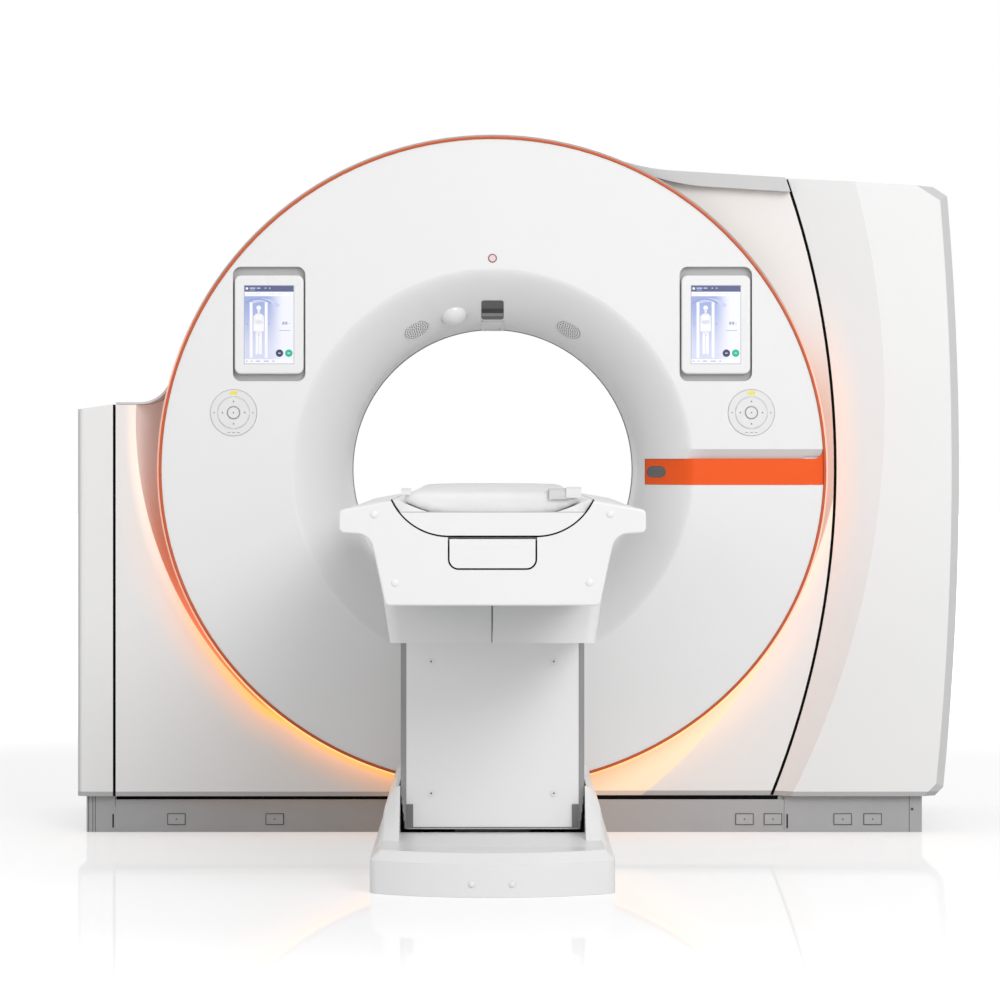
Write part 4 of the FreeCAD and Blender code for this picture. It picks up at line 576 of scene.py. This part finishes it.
middle, radius, (startDeg, endDeg) = seamRound()
bm = bmesh.new()
near, far = radius - seam["inset"][1], radius - seam["inset"][0]
addRing(bm, middle.x, middle.y, near, far, seam["front"], seam["back"], startDeg, endDeg, seam["steps"])
addRing(bm, -middle.x, middle.y, near, far, seam["front"], seam["back"], 180 - endDeg, 180 - startDeg, seam["steps"])
addBox(bm, (-seam["flat"] - 1, seam["front"], seam["low"] + seam["inset"][0]),
       (seam["flat"] + 1, seam["back"], seam["low"] + seam["inset"][1]))
finishMesh("tabletopSeam", bm, gapBlack, "table")
flapGap = {"low": (-99.4, -2721.6, 802.6), "high": (99.4, -2720.4, 871.4), "radius": 23, "segments": 8}
boxPiece("flapBacking", flapGap, gapBlack, "table")
capLine = {"low": (-206, -2740.3, 930.6), "high": (206, -2739, 932.2)}
boxPiece("endCapLine", capLine, litTint("end cap line grey", (0.4, 0.4, 0.4), 0.0, 0.5), "tabletop_group")
print("table seams lined")

# Controls: markings on the two round pads, each at its face's depth
pad = {"x": 721, "z": 1177, "plateY": (-541.9, -540.5), "rockerY": (-543.4, -542), "buttonY": (-544.9, -543.5),
       "line": (63.6, 64.6), "dashes": (-13, 0, 13), "dashHalf": 4, "dashZ": (-56, -54.8), "plateMark": (54, 2.6),
       "rockerMark": (31, 3.2), "rockerLine": (42.2, 43), "lineTurns": (8, 98, 188, 278), "lineSpan": 74,
       "buttonRing": (15.4, 17.2), "buttonDot": 2, "patchHalf": 10.5, "patchZ": (50, 59.5), "patchY": (-542, -540.5)}
markGrey = litTint("pad marking grey", (0.2, 0.2, 0.21), 0.0, 0.5)
lineGrey = litTint("pad line grey", (0.52, 0.52, 0.53), 0.0, 0.5)
for side, padName in ((-1, "left"), (1, "right")):
    x, z = side * pad["x"], pad["z"]
    front, back = pad["plateY"]
    bm = bmesh.new()
    addRing(bm, x, z, *pad["line"], front, back)
    finishMesh(padName + "PadLine", bm, lineGrey, "stand")
    bm = bmesh.new()
    for dx in pad["dashes"]:
        addBox(bm, (x + dx - pad["dashHalf"], front, z + pad["dashZ"][0]),
               (x + dx + pad["dashHalf"], back, z + pad["dashZ"][1]))
    away, size = pad["plateMark"]
    for dx in (away, -away):
        addDisc(bm, x + dx, z, size, front, back, 3)
    finishMesh(padName + "PadMarks", bm, markGrey, "stand")
    bm = bmesh.new()
    away, size = pad["rockerMark"]
    for dx, dz in ((away, 0), (0, away), (-away, 0), (0, -away)):
        addDisc(bm, x + dx, z + dz, size, *pad["rockerY"], 3)
    finishMesh(padName + "RockerMarks", bm, markGrey, padName + "_rocker")
    bm = bmesh.new()
    for start in pad["lineTurns"]:
        addRing(bm, x, z, *pad["rockerLine"], *pad["rockerY"], start, start + pad["lineSpan"], 16)
    finishMesh(padName + "RockerLines", bm, lineGrey, padName + "_rocker")
    bm = bmesh.new()
    addRing(bm, x, z, *pad["buttonRing"], *pad["buttonY"])
    addDisc(bm, x, z, pad["buttonDot"], *pad["buttonY"], 16)
    finishMesh(padName + "ButtonMarks", bm, markGrey, padName + "_button")
bm = bmesh.new()
front, back = pad["patchY"]
for x in (-pad["x"], pad["x"]):
    addBox(bm, (x - pad["patchHalf"], front, pad["z"] + pad["patchZ"][0]),
           (x + pad["patchHalf"], back, pad["z"] + pad["patchZ"][1]), 2)
finishMesh("padPatches", bm, litTint("pad patch yellow", (0.9, 0.78, 0.1), 0.0, 0.4), "stand")
print("pads marked")

# Displays: a plain user interface of bars, a scanner arc, a table and a standing figure
screen = {"x": 622, "z": 1422, "halfWide": 69, "halfHigh": 109, "face": -545.0}
inks = {
    "screenGround": (0.7, 0.74, 0.93), "screenPale": (0.9, 0.91, 0.97), "screenHeader": (0.11, 0.13, 0.27),
    "screenArc": (0.33, 0.38, 0.68), "screenArcPale": (0.6, 0.67, 0.92), "screenWhite": (0.97, 0.97, 1.0),
    "screenSlate": (0.05, 0.06, 0.14), "screenGreen": (0.01, 0.52, 0.3), "screenMark": (0.42, 0.44, 0.55),
}
layers = {name: bmesh.new() for name in inks}
for side in (-1, 1):
    # places on a display count from its upper left corner
    left, top, face = side * screen["x"] - screen["halfWide"], screen["z"] + screen["halfHigh"], screen["face"]

    def bar(layer, x0, x1, z0, z1, depth, radius=0.0):
        addBox(layers[layer], (left + x0, face - depth, top - z1), (left + x1, face + 0.4, top - z0), radius, 1, 4)

    bar("screenGround", 0.6, 137.4, 0.6, 217.4, 0.1)
    for x0, x1, z0, z1 in ((-1, 139, -1, 0.6), (-1, 139, 217.4, 219), (-1, 0.6, 0.6, 217.4), (137.4, 139, 0.6, 217.4)):
        bar("screenMark", x0, x1, z0, z1, 0.1)
    bar("screenHeader", 0.8, 137.2, 0.8, 17.5, 0.25)
    bar("screenWhite", 0.8, 137.2, 17.5, 30, 0.22)
    bar("screenWhite", 0.8, 137.2, 205, 217.2, 0.22)
    bar("screenWhite", 4, 10.5, 5.5, 11.5, 0.4, 1)
    for x0, x1, z0, z1 in ((15, 31, 6, 9), (35, 45, 6, 9), (57, 61, 6, 9), (69, 73, 6, 9), (15, 30, 12, 13.4)):
        bar("screenArcPale", x0, x1, z0, z1, 0.4, 0.6)
    for x0, x1 in ((6, 44), (70, 84), (92, 104)):
        bar("screenArcPale", x0, x1, 23, 24.2, 0.4)
    bar("screenWhite", 15, 23, 46, 202, 0.3, 2)
    bar("screenWhite", 57, 65, 46, 202, 0.3, 2)
    # scanner arc over the head of the table
    addRing(layers["screenArc"], left + 39, top - 96, 56, 60, face - 0.42, face + 0.4, 52, 128, 24)
    addRing(layers["screenArcPale"], left + 50, top - 112, 66, 76, face - 0.36, face + 0.4, 50, 112, 24)
    # standing figure
    addDisc(layers["screenWhite"], left + 40.3, top - 62.5, 6.6, face - 0.5, face + 0.4, 24)
    for x0, x1, z0, z1, radius in (
        (37.5, 43, 66, 84, 2), (28.5, 52, 79, 108, 7), (31, 49.6, 96, 134, 5), (25.8, 31, 84, 128, 2.5),
        (49.4, 54.6, 84, 128, 2.5), (31.6, 39.4, 126, 192, 3.4), (41.2, 49, 126, 192, 3.4),
    ):
        bar("screenWhite", x0, x1, z0, z1, 0.5, radius)
    # arrows beside, above and below the figure
    for dx, dz, start in ((11, 107, 150), (68, 107, -30), (40.3, 79, 60), (40.3, 135, 240)):
        addRing(layers["screenSlate"], left + dx, top - dz, 2.2, 3.4, face - 0.6, face + 0.4, start, start + 60, 6)
    for x0, x1, z0, z1 in ((106, 112, 101, 109), (114, 120, 101, 109), (123, 127, 105, 106.5),
                           (98, 128, 124.5, 126)):
        bar("screenMark", x0, x1, z0, z1, 0.4, 0.6)
    for x0, x1 in ((4, 9), (18, 23), (32, 44), (54, 68), (78, 84)):
        bar("screenMark", x0, x1, 209.5, 212, 0.4, 0.6)
    addDisc(layers["screenSlate"], left + 98, top - 188.5, 10.4, face - 0.5, face + 0.4, 32)
    addDisc(layers["screenGreen"], left + 124, top - 188.5, 10.4, face - 0.5, face + 0.4, 32)
    for x in (98, 124):
        bar("screenPale", x - 3.5, x + 3.5, 187.4, 189.6, 0.7, 0.8)
inkMaterials = {name: litTint(name + " ink", ink, 0.3) for name, ink in inks.items()}
# the ground runs from a deep lavender at the upper left to nearly white at the right, alike on both displays
ground = {"left": 0.6911, "apart": 1.244, "downZ": (1.49, 1.34), "acrossX": (0.06, 0.112), "deep": (0.29, 0.37, 0.66),
          "low": (0.62, 0.65, 0.82), "right": (0.84, 0.85, 0.93), "light": (0.08, 0.08, 0.1)}
tree, shader, _, (x, y, z) = reopened(inkMaterials["screenGround"])
across = maths(tree, "MODULO", maths(tree, "ADD", x, ground["left"]), ground["apart"])
sunk = laidOver(tree, ground["deep"], ramp(tree, z, *ground["downZ"]), ground["low"])
tree.links.new(laidOver(tree, sunk, ramp(tree, across, *ground["acrossX"]), ground["right"]),
               shader.inputs["Base Color"])
shader.inputs["Emission Color"].default_value = (*ground["light"], 1)
for name in inks:
    finishMesh(name, layers[name], inkMaterials[name], "stand")
print("displays drawn")

# Small fittings: caps and screws on the table
cowlCap = {"places": ((-265, 926), (263, 927), (-218, 773), (217, 774)), "y": -2739.5, "radius": 9, "height": 4}
bm = bmesh.new()
for x, z in cowlCap["places"]:
    addCap(bm, x, cowlCap["y"], z, cowlCap["radius"], cowlCap["height"])
finishMesh("cowlCaps", bm, tableWhite, "table")
footCap = {"places": ((-49, 32), (46.6, 32)), "y": -2111.5, "radius": 8.2, "height": 4}
bm = bmesh.new()
for x, z in footCap["places"]:
    addCap(bm, x, footCap["y"], z, footCap["radius"], footCap["height"])
finishMesh("footCaps", bm, tableWhite, "stand")
# each screw has a flat head with a raised rim round its socket
screw = {"places": [(x, z) for x in (-153, 153) for z in (544, 215)], "radius": 7.2, "head": (2.6, -1702),
         "rim": (5.6, -1703), "socket": (2.7, -1701), "seat": -1699, "steps": 28}
bm = bmesh.new()
for x, z in screw["places"]:
    for inner, front in (screw["head"], screw["rim"]):
        addRing(bm, x, z, inner, screw["radius"], front, screw["seat"], steps=screw["steps"])
finishMesh("panelScrews", bm, tableWhite, "middle_stage")
bm = bmesh.new()
for x, z in screw["places"]:
    radius, front = screw["socket"]
    addDisc(bm, x, z, radius, front, screw["seat"], 6)
finishMesh("screwSockets", bm, guideGrey, "middle_stage")
# grey guides in the lower corners of the pedestal's front panel, and a line between them
guides = {"x": (198, 214.5), "y": (-1703, -1698), "z": (128, 188), "round": 1, "lineHalf": 214, "lineFront": -1701.5,
          "lineTop": 131}
bm = bmesh.new()
near, far = guides["x"]
front, back = guides["y"]
low, high = guides["z"]
for start, end in ((-far, -near), (near, far)):
    addBox(bm, (start, front, low), (end, back, high), guides["round"])
addBox(bm, (-guides["lineHalf"], guides["lineFront"], low), (guides["lineHalf"], back, guides["lineTop"]))
finishMesh("panelGuides", bm, guideGrey, "middle_stage")
print("small fittings set")


# A node's surface, for rays to land on
def surfaceOf(name):
    bm = bmesh.new()
    bm.from_mesh(nodes[name].data)
    surface = BVHTree.FromBMesh(bm)
    bm.free()
    return surface


# The middle of the part of a node that faces the front on one side of the bore, and its direction
def frontOf(name, side):
    area, middle, normal = 0, Vector(), Vector()
    for polygon in nodes[name].data.polygons:
        if polygon.center.x * side > 0 and polygon.normal.y < -0.35:
            area += polygon.area
            middle += polygon.center * polygon.area
            normal += polygon.normal * polygon.area
    return middle / area, normal.normalized()


# Speaker perforations: rings of small dark discs on the sloping grilles
grille = {"step": 6.8, "hole": 1.7, "rings": 5, "thick": 0.8}
grilleWall = surfaceOf("speaker_grilles")
bm = bmesh.new()
for side in (-1, 1):
    middle, normal = frontOf("speaker_grilles", side)
    facing = normal.to_track_quat("Z", "Y").to_matrix()
    for ring in range(grille["rings"] + 1):
        count = max(1, round(2 * math.pi * ring))
        for number in range(count):
            angle = 2 * math.pi * number / count
            reach = ring * grille["step"] / 1000
            away = facing @ Vector((reach * math.cos(angle), reach * math.sin(angle), 0.05))
            spot, direction, _, _ = grilleWall.ray_cast(middle + away, -normal)
            if spot is None:
                continue
            place = Matrix.Translation(spot) @ direction.to_track_quat("Z", "Y").to_matrix().to_4x4()
            hole, thick = millimetres(grille["hole"], grille["thick"])
            bmesh.ops.create_cone(bm, cap_ends=True, segments=8, radius1=hole, radius2=hole, depth=thick, matrix=place)
finishMesh("speakerHoles", bm, gapBlack, "stand")
print("speakers perforated")


# A piece that is a thin patch in the front view, dropped onto a node's wall
def drapedPiece(name, wall, material, body, slot, low, high, lift=0.6, pieces=(10, 6)):
    surface = surfaceOf(wall)
    low, high, (lift,) = Vector(millimetres(*low)), Vector(millimetres(*high)), millimetres(lift)
    bm = bmesh.new()
    middle, half = (low + high) / 2, (high - low) / 2
    turn = Matrix.Translation((middle.x, 0, middle.y)) @ Matrix.Rotation(math.pi / 2, 4, "X")
    made = bmesh.ops.create_grid(bm, x_segments=pieces[0], y_segments=pieces[1], size=1,
                                 matrix=turn @ Matrix.Diagonal((half.x, half.y, 1, 1)))
    for vert in made["verts"]:
        spot, direction, _, _ = surface.ray_cast(Vector((vert.co.x, -3, vert.co.z)), Vector((0, 1, 0)))
        if spot is not None:
            vert.co = spot + direction * lift
    faces = list({f for v in made["verts"] for f in v.link_faces})
    bmesh.ops.solidify(bm, geom=faces, thickness=-lift)
    finishMesh(name, bm, material, body)


# Two bands across the upper laser window, the seam of the lower shells, and the window's bracket
bands = {"windowUpperBand": ((-30.4, 1458.5), (30.4, 1470), (0.045, 0.045, 0.048)),
         "windowLowerBand": ((-30.4, 1450.5), (30.4, 1458.5), (0.3, 0.3, 0.31))}
for name, (low, high, tint) in bands.items():
    glass = mouldedPlastic(name, tint, 0.2, 0.0, 0.05)
    drapedPiece(name, "laser_windows", glass, "stand", "window_dark", low, high)
seamPatch = {"low": (-2.2, 619), "high": (-0.55, 751), "lift": 0.5, "pieces": (1, 10)}
drapedPiece("shellSeam", "left_lower_shell", seamGrey, "table", "shell_white", **seamPatch)
bracket = {"low": (-31, 1421), "high": (31, 1442), "lift": 2, "pieces": (12, 4)}
bracketWhite = mouldedPlastic("window bracket", (0.9, 0.9, 0.9), 0.4, 0.02)
drapedPiece("windowBracket", "front_cover", bracketWhite, "stand", "cover_white", **bracket)
print("windows banded")

# Indicator: a red ring round a pale lens
indicator = {"z": 1607, "radius": (9.4, 11.6), "y": (-542.6, -541)}
bm = bmesh.new()
addRing(bm, 0, indicator["z"], *indicator["radius"], *indicator["y"])
finishMesh("indicatorRing", bm, litTint("indicator red", (0.3, 0.06, 0.1), 0.0), "stand")

# Mattress: a slack pad in the tabletop's hollow, swollen by a short cloth run
mattress = {"voxel": 0.009, "pressure": 2.5, "frames": 20, "cap": 0.004, "shrink": 0.0025}
vinyl, tree, shader = newMaterial("mattress cloth")
weave = objectNoise(tree, 900, 2)
creases = objectNoise(tree, 7, 6, (1, 0.35, 1))
# the cloth is darker where its creases sink: painted shade
tree.links.new(laidOver(tree, (0.7, 0.7, 0.705), spread(tree, creases, 0, 1), (0.78, 0.78, 0.785)),
               shader.inputs["Base Color"])
tree.links.new(spread(tree, creases, 0.45, 0.62), shader.inputs["Roughness"])
addBump(tree, shader, maths(tree, "MULTIPLY_ADD", creases, 6.0, weave), 0.35, 0.0012)
shader.inputs["Sheen Weight"].default_value = 0.15

bm = bmesh.new()
bm.from_mesh(nodes["mattress"].data)
bmesh.ops.remove_doubles(bm, verts=bm.verts, dist=1e-5)
pad3d = bpy.data.meshes.new("mattressPad")
bm.to_mesh(pad3d)
bm.free()
pad3d.materials.clear()
pad3d.materials.append(vinyl)
mattressPad = bpy.data.objects.new("mattressPad", pad3d)
scene.collection.objects.link(mattressPad)
bpy.context.view_layer.objects.active = mattressPad
shrink = mattressPad.modifiers.new("shrink", "DISPLACE")
shrink.strength, shrink.mid_level = -mattress["shrink"], 0.0
remesh = mattressPad.modifiers.new("remesh", "REMESH")
remesh.mode, remesh.voxel_size = "VOXEL", mattress["voxel"]
with bpy.context.temp_override(object=mattressPad, active_object=mattressPad, selected_objects=[mattressPad]):
    bpy.ops.object.modifier_apply(modifier="shrink")
    bpy.ops.object.modifier_apply(modifier="remesh")
start = [v.co.copy() for v in mattressPad.data.vertices]
cloth = mattressPad.modifiers.new("cloth", "CLOTH")
cloth.settings.use_pressure = True
cloth.settings.uniform_pressure_force = mattress["pressure"]
cloth.settings.effector_weights.gravity = 0
cloth.settings.quality = 4
for number in range(1, mattress["frames"] + 1):
    scene.frame_set(number)
swollen = mattressPad.evaluated_get(bpy.context.evaluated_depsgraph_get()).data
places = [v.co.copy() for v in swollen.vertices]
mattressPad.modifiers.clear()
scene.frame_set(1)
for vertex, before, after in zip(mattressPad.data.vertices, start, places):
    move = after - before
    if move.length > mattress["cap"]:
        move *= mattress["cap"] / move.length
    vertex.co = before + move
finer = mattressPad.modifiers.new("finer", "SUBSURF")
finer.levels = finer.render_levels = 1
mattressPad.data.shade_smooth()
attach(mattressPad, "tabletop_group")
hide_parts("mattress")
print("mattress made:", len(mattressPad.data.vertices), "points")

# A folded strap over the near end of the mattress, its lighter tip, and a small tab at the other corner
strap = {"over": ((-2640, 983), (-2670, 984), (-2694, 984.5), (-2706, 983), (-2712.6, 978), (-2715, 970), (-2715, 960)),
         "thick": 2.4, "fold": (127, 172), "tip": (165, 199), "tipLift": 3.0, "tab": (-205, -183)}


# A ribbon of webbing across X that runs along a line of heights
def addRibbon(bm, low, high, path, thick):
    start = [bm.verts.new(millimetres(x, *path[0])) for x in (low, high)]
    edge = bm.edges.new(start)
    for (y, z), (nextY, nextZ) in zip(path, path[1:]):
        grown = bmesh.ops.extrude_edge_only(bm, edges=[edge])["geom"]
        ends = [part for part in grown if isinstance(part, bmesh.types.BMVert)]
        bmesh.ops.translate(bm, verts=ends, vec=millimetres(0, nextY - y, nextZ - z))
        edge = next(e for e in ends[0].link_edges if e.other_vert(ends[0]) in ends)
    bmesh.ops.recalc_face_normals(bm, faces=bm.faces)
    bmesh.ops.solidify(bm, geom=list(bm.faces), thickness=thick / 1000)


webbing = grainedPanel("strap webbing", (0.62, 0.62, 0.625), 0.6, 0.4, 0.0, 900)
paleWebbing = grainedPanel("strap tip webbing", (0.76, 0.76, 0.765), 0.6, 0.4, 0.0, 900)
bm = bmesh.new()
addRibbon(bm, *strap["fold"], strap["over"], strap["thick"])
finishMesh("mattressStrap", bm, webbing, "tabletop_group")
bm = bmesh.new()
raised = [(y - strap["tipLift"], z + strap["tipLift"]) for y, z in strap["over"][2:]]
addRibbon(bm, *strap["tip"], raised, strap["thick"])
finishMesh("strapTip", bm, paleWebbing, "tabletop_group")
bm = bmesh.new()
addRibbon(bm, *strap["tab"], strap["over"][2:-1], strap["thick"])
finishMesh("mattressTab", bm, paleWebbing, "tabletop_group")
print("strap and tab laid")

# Studio: glossy pale floor, white surroundings, a soft key from the upper right, a weak fill and the camera
studio = {"floor": 60.0, "floorZ": -0.0005, "floorTint": 0.66, "glossShare": 0.16, "glossRoughness": 0.035,
          "shine": 0.36, "shineReach": (2.6, 7.0), "world": 0.72}
floorMesh = bmesh.new()
bmesh.ops.create_grid(floorMesh, x_segments=1, y_segments=1, size=studio["floor"])
bmesh.ops.translate(floorMesh, verts=floorMesh.verts, vec=(0, 0, studio["floorZ"]))
mesh = bpy.data.meshes.new("studioFloor")
floorMesh.to_mesh(mesh)
floorMesh.free()
floorPiece = bpy.data.objects.new("studioFloor", mesh)
scene.collection.objects.link(floorPiece)
floorMaterial, tree, shader = newMaterial("studio floor")
shader.inputs["Base Color"].default_value = (*[studio["floorTint"]] * 3, 1)
shader.inputs["Roughness"].default_value = 0.9
shader.inputs["Specular IOR Level"].default_value = 0.0
gloss = addNode(tree, "ShaderNodeBsdfGlossy", Roughness=studio["glossRoughness"])
gloss.inputs["Color"].default_value = (1, 1, 1, 1)
mixed = addNode(tree, "ShaderNodeMixShader", Fac=studio["glossShare"])
glow = addNode(tree, "ShaderNodeEmission")
lightPath = addNode(tree, "ShaderNodeLightPath")
x, y, z = placeOf(tree)
away = maths(tree, "ADD", maths(tree, "POWER", x, 2.0), maths(tree, "POWER", y, 2.0))
clear = ramp(tree, maths(tree, "SQRT", away), *studio["shineReach"], studio["shine"], 1.0)
tree.links.new(maths(tree, "MULTIPLY", lightPath.outputs["Is Camera Ray"], clear), glow.inputs["Strength"])
both = addNode(tree, "ShaderNodeAddShader")
tree.links.new(shader.outputs["BSDF"], mixed.inputs[1])
tree.links.new(gloss.outputs["BSDF"], mixed.inputs[2])
tree.links.new(mixed.outputs["Shader"], both.inputs[0])
tree.links.new(glow.outputs["Emission"], both.inputs[1])
tree.links.new(both.outputs["Shader"], tree.nodes["Material Output"].inputs["Surface"])
floorPiece.data.materials.append(floorMaterial)

world = bpy.data.worlds.new("white studio")
scene.world = world
world.use_nodes = True
tree = world.node_tree
background = tree.nodes["Background"]
lightPath = addNode(tree, "ShaderNodeLightPath")
direct = maths(tree, "MAXIMUM", lightPath.outputs["Is Camera Ray"], lightPath.outputs["Is Glossy Ray"])
direct = maths(tree, "MAXIMUM", direct, lightPath.outputs["Is Transmission Ray"])
lift = maths(tree, "MULTIPLY", direct, 1.0 - studio["world"])
tree.links.new(maths(tree, "ADD", lift, studio["world"]), background.inputs["Strength"])
background.inputs["Color"].default_value = (1, 1, 1, 1)


def softLamp(name, place, aim, size, power):
    lamp = bpy.data.lights.new(name, "AREA")
    lamp.shape, lamp.size, lamp.energy = "SQUARE", size, power
    holder = bpy.data.objects.new(name, lamp)
    holder.location = place
    holder.rotation_euler = (Vector(aim) - Vector(place)).to_track_quat("-Z", "Y").to_euler()
    scene.collection.objects.link(holder)


softLamp("keyLamp", (4.2, -11.0, 5.6), (0, -0.6, 0.9), 5.0, 520.0)
softLamp("fillLamp", (-6.0, -8.0, 3.2), (0, -0.5, 0.9), 4.0, 50.0)

camera = {"distance": 11.68, "height": 1.059, "lens": 144.0, "shift": (0.0075, -0.045)}
view = bpy.data.cameras.new("studioCamera")
view.lens, view.sensor_width = camera["lens"], 36.0
view.shift_x, view.shift_y = camera["shift"]
view.clip_end = 200
holder = bpy.data.objects.new("studioCamera", view)
holder.location = (0, -camera["distance"], camera["height"])
holder.rotation_euler = (math.pi / 2, 0, 0)
scene.collection.objects.link(holder)
scene.camera = holder
scene.view_settings.view_transform = "Standard"
print("studio lit")
